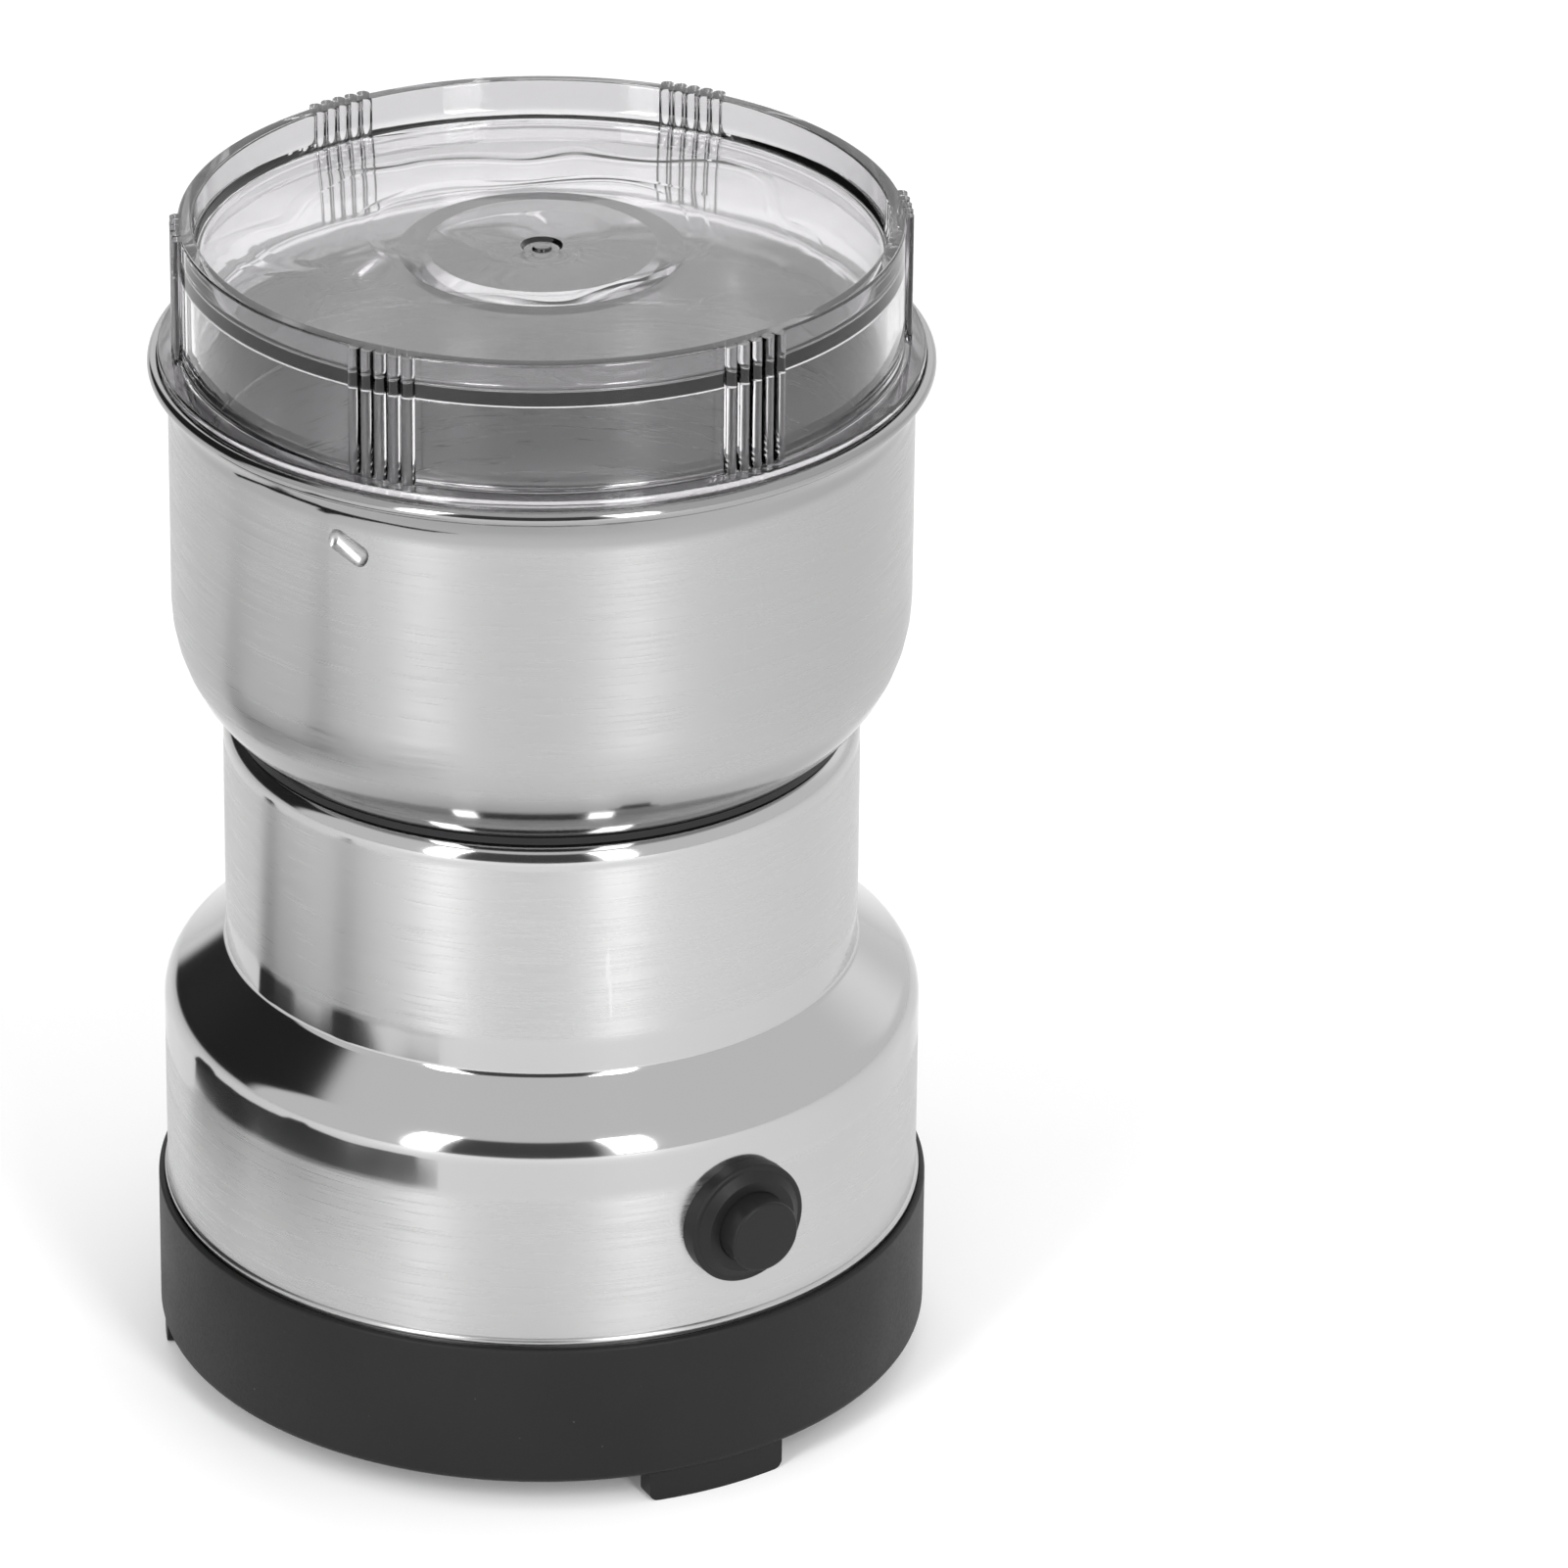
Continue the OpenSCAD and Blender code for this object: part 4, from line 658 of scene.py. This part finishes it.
def smoky_clear(name, colour, clear):
    """Smoky plastic, darker in the rim and the flange as painted shade and clearer between them, with
    faint flow lines and fine scuffs.
    """
    p = Paint(name, colour, 0.03)
    reach = p.node("VectorMath", {0: p.stretched((1, 1, 0))}, operation="LENGTH").outputs["Value"]
    height = p.height()
    # Painted shade: the rim and the flange take the darker colour, which dims the floor seen through
    # them
    rim = p.times(p.ramp(reach, 0.0445, 0.0458), p.ramp(height, 0.1588, 0.1604))
    flange = p.times(p.ramp(reach, 0.0476, 0.0480), p.ramp(height, 0.1478, 0.1473))
    p.set("Base Color", p.mix(p.math("MAXIMUM", rim, flange), clear, colour))
    p.set("Transmission Weight", 1.0)
    p.set("IOR", 1.5)
    scuff = p.ramp(p.noise(1, 2, 0.5, (2600, 260, 700), (0.2, 0.1, 0.9)), 0.72, 0.84)
    haze = p.ramp(p.noise(35, 4, 0.6), 0.35, 0.7, 0.01, 0.06)
    p.set("Roughness", p.plus(haze, p.times(scuff, 0.08)))
    ripple = p.node("TexWave", {"Vector": p.coords, "Scale": 22.0, "Distortion": 9.0,
                                "Detail": 1.5, "Detail Scale": 1.4},
                    wave_type="RINGS", rings_direction="Z").outputs["Fac"]
    flow = p.bump(p.noise(45, 2, 0.45), 0.3, 0.0004)
    p.set("Normal", p.bump(p.ramp(ripple, 0.9, 1.0), 0.2, 0.0001, Normal=flow))
    return p.material


def build_materials(finish):
    """All finishes by name."""
    # Polished bands (low, high, softness), also darkened as painted shade by the share given after
    # them
    polished_shaded_bands = ((0.0468, 0.0655, 0.0010), (0.0908, 0.0945, 0.0005))
    bowl_polished_shaded_bands = ((0.0945, 0.1030, 0.0015), (0.1400, 0.1480, 0.0008))
    return {
        "body": brushed_steel("brushed_body", tuple(finish.steel), polished_shaded_bands, 0.95),
        # The bowl's inside is brightened as painted light
        "bowl": brushed_steel("brushed_bowl", tuple(finish.bowl_steel), bowl_polished_shaded_bands, 0.78,
                              inside=(0.12, 1.28)),
        "base": moulded("dark_base", tuple(finish.plastic), 0.48),
        "button": moulded("dark_button", tuple(finish.plastic), 0.4, 2500, 0.00001),
        "bracket": moulded("black_bracket", (0.014, 0.014, 0.015), 0.5),
        "rubber": moulded("black_rubber", (0.012, 0.012, 0.013), 0.65, 700, 0.00005),
        "lid": smoky_clear("smoky_clear", tuple(finish.rim_smoke_and_shade), tuple(finish.clear)),
        "blade": plain_metal("ground_blade", (0.62, 0.61, 0.60), 0.2),
        "zinc": plain_metal("zinc_steel", (0.56, 0.57, 0.58), 0.32),
        "bronze": plain_metal("sintered_bronze", (0.45, 0.32, 0.15), 0.5, 1600, 0.00004),
        "brass": plain_metal("sheet_brass", (0.66, 0.5, 0.2), 0.28),
        "copper": plain_metal("copper_bar", (0.62, 0.33, 0.18), 0.3),
        "spring": plain_metal("spring_steel", (0.42, 0.43, 0.45), 0.25),
        "core": laminated("laminated_core", (0.27, 0.28, 0.29)),
        "wire": wound_wire("enamelled_wire", (0.42, 0.16, 0.06)),
        "carbon": moulded("carbon_block", (0.03, 0.03, 0.03), 0.6, 1200, 0.00005),
        "lead": moulded("red_insulation", (0.42, 0.03, 0.02), 0.4, 900, 0.00002),
        "nylon": moulded("pale_nylon", (0.62, 0.60, 0.55), 0.45, 900, 0.00002),
        "ivory": moulded("ivory_plastic", (0.66, 0.62, 0.50), 0.4, 900, 0.00002),
    }


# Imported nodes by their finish
NODE_FINISH = {
    "zinc": ("base_screws", "motor_bolts", "motor_shaft", "bowl_screws", "blade_washer",
             "blade_nut"),
    "bracket": ("top_bracket", "bottom_bracket", "bezel_nut"),
    "rubber": ("cord_gland", "bowl_seal"),
    "core": ("stator_core", "armature_core"),
    "wire": ("field_coils", "armature_windings"),
    "bronze": ("upper_bush", "lower_bush"),
    "brass": ("brush_holders", "switch_contacts", "contact_bridge"),
    "nylon": ("thrust_washers", "cooling_fan"),
    "carbon": ("carbon_brushes",),
    "spring": ("brush_springs",),
    "lead": ("motor_leads",),
    "copper": ("commutator",),
    "blade": ("blade",),
    "ivory": ("switch_body",),
}

# Finishes by name, filled by the first step
MATERIALS = {}


class GRINDER_OT_finishes(bpy.types.Operator):
    """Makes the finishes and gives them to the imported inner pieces"""
    bl_idname = "grinder.finishes"
    bl_label = "Finishes"

    def execute(self, context):
        MATERIALS.update(build_materials(context.scene.grinder_finish))
        for finish, names in NODE_FINISH.items():
            for name in names:
                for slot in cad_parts[name].material_slots:
                    slot.material = MATERIALS[finish]
        return {"FINISHED"}


class GRINDER_OT_base(bpy.types.Operator):
    """Models the plastic base with its feet, tie posts and vent slots"""
    bl_idname = "grinder.base"
    bl_label = "Base"

    def execute(self, context):
        s = context.scene.grinder_body
        floor_top = s.foot_h + s.base_floor
        wall_in = s.base_r - s.base_wall
        lip_in = s.shell_r + s.lip_gap
        outline = rounded([(0, s.foot_h, 0), (s.base_r, s.foot_h, s.base_round),
                           (s.base_r, s.base_top, LIP_ROUND), (lip_in, s.base_top, LIP_ROUND),
                           (lip_in, s.ledge_z, 0), (wall_in, s.ledge_z, 0),
                           (wall_in, floor_top, s.base_round), (0, floor_top, 0)])
        base = lathe("base_moulding", outline, BASE_SIDES)
        foot_r = s.base_r - s.foot_inset
        mid = s.foot_h + s.base_floor / 2
        feet = lathe("feet", oblong(foot_r - s.foot_t, foot_r, 0, mid), BASE_SIDES)
        half, top = s.foot_w / 2, mid + OVER
        face = rounded([(-half, 0, s.foot_round), (half, 0, s.foot_round), (half, top, 0),
                        (-half, top, 0)])
        foot = slab("foot_block", s.foot_turn, foot_r - 3 * s.foot_t, 4 * s.foot_t, face)
        combine(feet, foot, "INTERSECT", FOLD)
        combine(base, feet, "UNION")
        x, y = spot(FULL_TURN / 6, s.tie_r)
        post = pin("post", s.post_r, mid, s.post_top, x, y, 64)
        combine(base, post, "UNION", FOLD)
        well = pin("well", s.well_r, s.foot_h - OVER, s.well_top, x, y)
        combine(base, well, "DIFFERENCE", FOLD)
        hole = pin("hole", s.screw_hole_r, s.foot_h, s.post_top + OVER, x, y)
        combine(base, hole, "DIFFERENCE", FOLD)
        low, high, w = s.vent_r - s.vent_l / 2, s.vent_r + s.vent_l / 2, s.vent_w / 2
        outline = rounded([(x, y, VENT_ROUND) for x, y in oblong(low, high, -w, w)])
        slot = prism("slot", [(x, y, s.foot_h - OVER) for x, y in outline],
                     (0, 0, s.base_floor + 2 * OVER))
        combine(base, slot, "DIFFERENCE", VENTS)
        inlet = lathe("inlet", oblong(0, s.inlet_hole_r, -s.base_r - OVER, OVER - wall_in),
                      64, s.inlet_z)
        combine(base, inlet, "DIFFERENCE")
        finish_piece(base, "base", "grinder", "base_cup")
        return {"FINISHED"}


class GRINDER_OT_body(bpy.types.Operator):
    """Models the drawn steel body with its hem and the hole for the button"""
    bl_idname = "grinder.body"
    bl_label = "Steel body"

    def execute(self, context):
        s = context.scene.grinder_body
        path = [(s.shell_r, s.ledge_z, 0), (s.shell_r, s.shoulder_z, s.shoulder_round),
                (s.neck_r, s.neck_z, s.neck_round), (s.neck_r, s.neck_top, s.neck_top_round),
                (s.neck_open_r, s.neck_top, 0)]
        outline = rounded(path + moved_left(path, s.sheet)[::-1])
        centre = s.shell_r + s.hem_out - s.hem_r
        reach = math.acos((s.shell_r - centre) / s.hem_r)
        hem = arc(centre, s.hem_z, s.hem_r, -reach, reach, 12)
        body = lathe("steel_body", outline[:1] + hem + outline[1:], STEEL_SIDES)
        hole = lathe("hole", oblong(0, s.button_hole_r, s.shell_r - 4 * OVER, s.shell_r + 2 * OVER),
                     96, context.scene.grinder_button.height)
        combine(body, hole, "DIFFERENCE")
        finish_piece(body, "body", "grinder", "body_shell")
        return {"FINISHED"}


class GRINDER_OT_bowl(bpy.types.Operator):
    """Models the steel bowl with its rolled rim and its pressed dents"""
    bl_idname = "grinder.bowl"
    bl_label = "Bowl"

    def execute(self, context):
        s = context.scene.grinder_bowl
        rim = s.rim_r - s.bead
        path = [(s.shaft_hole_r, s.low, 0), (s.floor_r, s.low, s.floor_round),
                (s.wall_r, s.low + s.slope_h, s.corner_round),
                (s.wall_r, s.rim_z - s.flare_h, s.flare_h), (rim, s.rim_z, 0)]
        # Known fault: this end point turns the inner edge inwards, where the solid flares out
        end = (0, s.rim_z + 20 * OVER, 0)
        inner = rounded(moved_left(path, s.sheet)[:-1] + [end])[:-1]
        roll = arc(rim, s.rim_z, s.bead, math.radians(-105), math.pi, 24)
        bowl = lathe("steel_bowl", rounded(path)[:-1] + roll + inner[::-1], STEEL_SIDES)
        hole = pin("hole", s.screw_hole_r, s.low - OVER, s.low + s.sheet + OVER,
                   *spot(0, s.screw_place))
        combine(bowl, hole, "DIFFERENCE", FOLD)
        bulge = self.dent(s, "bulge", s.dent_r + s.sheet, s.dent_l + 2 * s.sheet)
        around(bulge, FOLD)
        inside = pin("inside", s.wall_r - s.sheet / 2, s.rim_z - 2 * s.dent_down, s.rim_z,
                     sides=STEEL_SIDES)
        combine(bulge, inside, "INTERSECT")
        combine(bowl, bulge, "UNION")
        combine(bowl, self.dent(s, "press", s.dent_r, s.dent_l), "DIFFERENCE", FOLD)
        finish_piece(bowl, "bowl", "grinder", "bowl")
        return {"FINISHED"}

    def dent(self, s, name, r, size):
        """The tool that presses one dent, slanted and lying along the wall."""
        half, edge = size / 2, 0.7 * r
        outline = rounded([(0, -half, 0), (r, -half, edge), (r, half, edge), (0, half, 0)], 15)
        obj = lathe(name, outline, 40)
        x, y = spot(s.dent_turn, s.wall_r - s.dent_depth + s.dent_r)
        lean = math.cos(s.dent_slant)
        way = Vector((-math.cos(s.dent_turn) * lean, -math.sin(s.dent_turn) * lean,
                      math.sin(s.dent_slant)))
        obj.rotation_euler = way.to_track_quat("Z", "X").to_euler()
        obj.location = (x, y, s.rim_z - s.dent_down)
        choose(obj)
        bpy.ops.object.transform_apply(location=True, rotation=True, scale=True)
        return obj


class GRINDER_OT_lid(bpy.types.Operator):
    """Models the clear lid with its ribs, panel, disc, flange and skirt"""
    bl_idname = "grinder.lid"
    bl_label = "Lid"

    def execute(self, context):
        s = context.scene.grinder_lid
        inside, rim_in = s.skirt_r - s.skirt_t, s.wall_r - s.rim_t
        low = s.low - s.skirt_h
        flange_top = s.low + s.flange_t
        panel_low = s.panel_top - s.panel_t
        disc_top = s.panel_top + s.disc_h
        disc_in, disc_out = s.disc_r - s.disc_slope / 2, s.disc_r + s.disc_slope / 2
        gate_floor = disc_top - s.gate_depth
        nub_top = gate_floor + s.nub_h
        outline = rounded([(0, panel_low, 0), (inside, panel_low, s.edge_round),
                           (inside, low, LID_ROUND), (s.skirt_r, low, LID_ROUND),
                           (s.skirt_r, s.low, 0), (s.flange_r, s.low, s.edge_round),
                           (s.flange_r, flange_top, s.edge_round),
                           (s.wall_r, flange_top, s.root_round), (s.wall_r, s.top, s.edge_round),
                           (rim_in, s.top, s.edge_round), (rim_in, s.panel_top, s.panel_round),
                           (disc_out, s.panel_top, s.disc_round), (disc_in, disc_top, s.disc_round),
                           (s.gate_r, disc_top, LID_ROUND),
                           (s.gate_r - s.gate_depth, gate_floor, LID_ROUND),
                           (s.nub_r + NUB_ROUND, gate_floor, 0.75 * NUB_ROUND),
                           (s.nub_r, nub_top, NUB_ROUND), (0, nub_top, 0)])
        lid = lathe("lid_moulding", outline, LID_SIDES)
        step = 2 * math.asin(s.rib_pitch / 2 / s.wall_r)
        places = [spot(s.rib_turn + (i - (s.ribs - 1) / 2) * step, s.wall_r + s.rib_sink)
                  for i in range(s.ribs)]
        ribs, *others = [pin("rib", s.rib_r, flange_top - s.flange_t / 2, s.top, x, y, 28)
                         for x, y in places]
        for rib in others:
            combine(ribs, rib, "UNION")
        combine(lid, ribs, "UNION", s.rib_groups)
        combine(lid, self.lugs(s), "UNION")
        finish_piece(lid, "lid", "lid", "lid")
        return {"FINISHED"}

    def lugs(self, s):
        """Three slanted lugs that go under the dents of the bowl."""
        back, front = s.skirt_r - s.skirt_t / 2, s.skirt_r + s.lug_out
        low, high = s.lug_z - 3 * s.lug_h, s.lug_z + 3 * s.lug_h
        ring = lathe("lugs", oblong(back, front, low, high), LID_SIDES)
        lean, rise = math.cos(s.lug_slant), math.sin(s.lug_slant)
        w, h = s.lug_w / 2, s.lug_h / 2
        face = [(u * lean + v * rise, s.lug_z + v * lean - u * rise) for u, v in oblong(-w, w, -h, h)]
        block = slab("lug_block", s.lug_turn, s.skirt_r - s.skirt_t, 2 * s.skirt_t, face)
        combine(ring, block, "INTERSECT", FOLD)
        return ring


class GRINDER_OT_button(bpy.types.Operator):
    """Models the button, the housing that it slides in and its spring"""
    bl_idname = "grinder.button"
    bl_label = "Button"

    def execute(self, context):
        s = context.scene.grinder_button
        bore = s.button_r + s.run_gap
        housing = lathe("button_housing",
                        rounded([(0, s.flange_back, 0), (s.flange_r, s.flange_back, 0),
                                 (s.flange_r, s.flange_front, s.flange_edge),
                                 (s.flange_r - 2 * s.flange_edge, s.flange_front, 0.15e-3),
                                 (s.cone_r, s.cone_front, 0.25e-3), (0, s.cone_front, 0)]),
                        BUTTON_SIDES, s.height)
        reach = 2 * s.flange_r
        shell = pin("shell", context.scene.grinder_body.shell_r, s.height - reach,
                    s.height + reach, sides=2 * BASE_SIDES)
        combine(housing, shell, "DIFFERENCE")
        barrel = lathe("barrel", oblong(0, s.barrel_r, s.barrel_back, s.flange_front - OVER / 2),
                       BUTTON_SIDES, s.height)
        combine(housing, barrel, "UNION")
        back = s.barrel_back - OVER
        hollow = lathe("hollow", [(0, back), (s.barrel_in_r, back), (s.barrel_in_r, s.stop),
                                  (bore, s.stop), (bore, s.face), (0, s.face)],
                       BUTTON_SIDES, s.height)
        combine(housing, hollow, "DIFFERENCE")
        finish_piece(housing, "button", "grinder", "button_bezel")
        cap = lathe("button_top",
                    rounded([(0, s.stem_back, 0), (s.stem_r, s.stem_back, 0),
                             (s.stem_r, s.rim_back, 0), (s.rim_r, s.rim_back, 0),
                             (s.rim_r, s.rim_front, 0), (s.button_r, s.rim_front, 0),
                             (s.button_r, s.face, s.face_round), (0, s.face, 0)], 6),
                    BUTTON_SIDES, s.height)
        finish_piece(cap, "button", "button", "button_cap")
        self.spring()
        return {"FINISHED"}

    def spring(self):
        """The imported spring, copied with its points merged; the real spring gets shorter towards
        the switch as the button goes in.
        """
        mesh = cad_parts["button_spring"].data.copy()
        mesh.name = "return_spring"
        spring = bpy.data.objects.new("return_spring", mesh)
        bpy.context.collection.objects.link(spring)
        edit(spring)
        merge_all()
        done()
        finish_piece(spring, "spring", "grinder", "button_spring")
        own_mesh(spring)


# Dark gaps of the studio: lowest and highest elevation, left and right turn from the camera,
# softness in degrees, and how much of the light is missing
WORLD_GAPS = (
    (2, 58, -152, -93, 3, 0.97),
    (-5, 46, -28, 18, 3, 0.9),
)
# Brighter part of the studio on the far side: low end, high end and softness, of the elevation
# in degrees and of how far the direction points towards the camera
BACK_GLOW = (12, 48, 6), (-1.2, -0.55, 0.15)

# Strip lights: name, turn from the camera in degrees, distance, height and width in metres
STRIPS = (
    ("strip_left", -34.5, 1.1, 0.55, 0.22),
    ("strip_right", 26.5, 1.1, 0.57, 0.24),
)
STRIP_L = 1.0
# Height of the point that the strip lights face
AIM_Z = 0.08
# Height of the underside of the dark card and its thickness
CARD_Z = 0.2e-3
CARD_T = 0.5e-3
# Outline of the dark card on the floor: turn from the camera in degrees and distance in metres
CARD = (
    (-26, 0.150), (-40, 0.140), (-66, 0.130), (-80, 0.130), (-87, 0.120), (-98, 0.124),
    (-109, 0.127), (-110, 0.140), (-109, 0.220), (-104, 0.250), (-101, 0.210), (-99, 0.176),
    (-92, 0.176), (-88, 0.166), (-78, 0.168), (-72, 0.178), (-70.5, 0.225), (-66, 0.250),
    (-63.5, 0.200), (-58, 0.182), (-50, 0.163), (-42, 0.172), (-33, 0.172), (-31, 0.159),
    (-26, 0.154),
)


def area_light(name, place, width, energy):
    """An upright strip light that faces the grinder."""
    bpy.ops.object.light_add(type="AREA", location=place)
    lamp = bpy.context.object
    lamp.name = name
    lamp.data.shape = "RECTANGLE"
    lamp.data.size = width
    lamp.data.size_y = STRIP_L
    lamp.data.energy = energy
    way = Vector((0, 0, AIM_Z)) - place
    lamp.rotation_euler = way.to_track_quat("-Z", "Y").to_euler()


def studio_world(s):
    """A bright studio with dark gaps, laid out by direction as seen from the object."""
    world = bpy.data.worlds.new("studio")
    world.use_nodes = True
    t = NodeTools(world.node_tree)
    coords = t.node("TexCoord").outputs["Generated"]
    x, y, z = t.node("SeparateXYZ", {0: coords}).outputs
    high = t.math("DEGREES", t.math("ARCSINE", z))
    sine, cosine = math.sin(s.azimuth), math.cos(s.azimuth)
    across = t.plus(t.times(x, cosine), t.times(y, sine))
    ahead = t.math("SUBTRACT", t.times(x, sine), t.times(y, cosine))
    turn = t.math("DEGREES", t.math("ARCTAN2", across, ahead))
    back = t.times(t.window(high, *BACK_GLOW[0]), t.window(ahead, *BACK_GLOW[1]))
    light = t.plus(1.0, t.times(back, s.back_light))
    for low, top, left, right, soft, depth in WORLD_GAPS:
        gap = t.times(t.window(high, low, top, soft), t.window(turn, left, right, soft))
        light = t.times(light, t.math("SUBTRACT", 1.0, t.times(gap, depth)))
    background = t.tree.nodes["Background"]
    t.feed(background.inputs["Color"], light)
    t.feed(background.inputs["Strength"], s.sky)
    return world


class GRINDER_OT_stage(bpy.types.Operator):
    """Sets up the floor, the light and the camera"""
    bl_idname = "grinder.stage"
    bl_label = "Stage"

    def execute(self, context):
        s = context.scene.grinder_stage
        finish = context.scene.grinder_finish
        bpy.ops.object.select_all(action="DESELECT")
        bpy.ops.mesh.primitive_plane_add(size=s.floor_w, location=(0, 0, 0))
        floor = bpy.context.object
        floor.name = "floor"
        p = Paint("floor", tuple(finish.floor), 0.7)
        p.set("Emission Color", (1, 1, 1, 1))
        p.set("Emission Strength", s.floor_glow)
        floor.data.materials.append(p.material)

        target = Vector((0, 0, s.target_z))
        back = Vector((math.sin(s.azimuth) * math.cos(s.elevation),
                       -math.cos(s.azimuth) * math.cos(s.elevation), math.sin(s.elevation)))
        bpy.ops.object.camera_add(location=target + s.distance * back)
        camera = bpy.context.object
        camera.rotation_euler = (-back).to_track_quat("-Z", "Y").to_euler()
        camera.data.lens = s.lens
        camera.data.sensor_width = 36
        camera.data.shift_x = s.shift_x
        camera.data.shift_y = s.shift_y
        camera.data.clip_end = 20
        context.scene.camera = camera

        def place(turn, distance, height):
            a = s.azimuth + math.radians(turn)
            return Vector((distance * math.sin(a), -distance * math.cos(a), height))

        for name, turn, distance, height, width in STRIPS:
            area_light(name, place(turn, distance, height), width, s.lamps)
        self.dark_card([place(turn, distance, CARD_Z) for turn, distance in CARD])

        context.scene.world = studio_world(s)
        context.scene.view_settings.view_transform = "Standard"
        return {"FINISHED"}

    def dark_card(self, outline):
        """A black card on the floor that only shows as a reflection in the steel."""
        card = prism("dark_card", outline, (0, 0, CARD_T))
        card.data.materials.append(Paint("dark_card", (0.004, 0.004, 0.004), 0.9).material)
        card.visible_camera = False
        card.visible_diffuse = False
        card.visible_shadow = False
        card.visible_transmission = False


class GRINDER_PT_panel(bpy.types.Panel):
    """Sizes, colours and steps of the grinder"""
    bl_label = "Spice grinder"
    bl_idname = "GRINDER_PT_panel"
    bl_space_type = "VIEW_3D"
    bl_region_type = "UI"
    bl_category = "Grinder"

    def draw(self, context):
        for step in STEPS:
            self.layout.operator(step.bl_idname)
        for name in GROUPS:
            box = self.layout.box()
            group = getattr(context.scene, name)
            for key in group.__annotations__:
                box.prop(group, key)


STEPS = (GRINDER_OT_finishes, GRINDER_OT_base, GRINDER_OT_body, GRINDER_OT_bowl,
         GRINDER_OT_lid, GRINDER_OT_button, GRINDER_OT_stage)
GROUPS = {"grinder_body": BodySizes, "grinder_bowl": BowlSizes, "grinder_lid": LidSizes,
          "grinder_button": ButtonSizes, "grinder_finish": Finish, "grinder_stage": StageSettings}


def register():
    for name, group in GROUPS.items():
        bpy.utils.register_class(group)
        setattr(bpy.types.Scene, name, PointerProperty(type=group))
    for cls in (*STEPS, GRINDER_PT_panel):
        bpy.utils.register_class(cls)


def unregister():
    for cls in (GRINDER_PT_panel, *reversed(STEPS)):
        bpy.utils.unregister_class(cls)
    for name, group in GROUPS.items():
        delattr(bpy.types.Scene, name)
        bpy.utils.unregister_class(group)


def main():
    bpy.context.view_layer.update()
    register()
    bpy.ops.grinder.finishes()
    bpy.ops.grinder.base()
    bpy.ops.grinder.body()
    bpy.ops.grinder.bowl()
    bpy.ops.grinder.lid()
    bpy.ops.grinder.button()
    bpy.ops.grinder.stage()


if __name__ == "__main__":
    main()
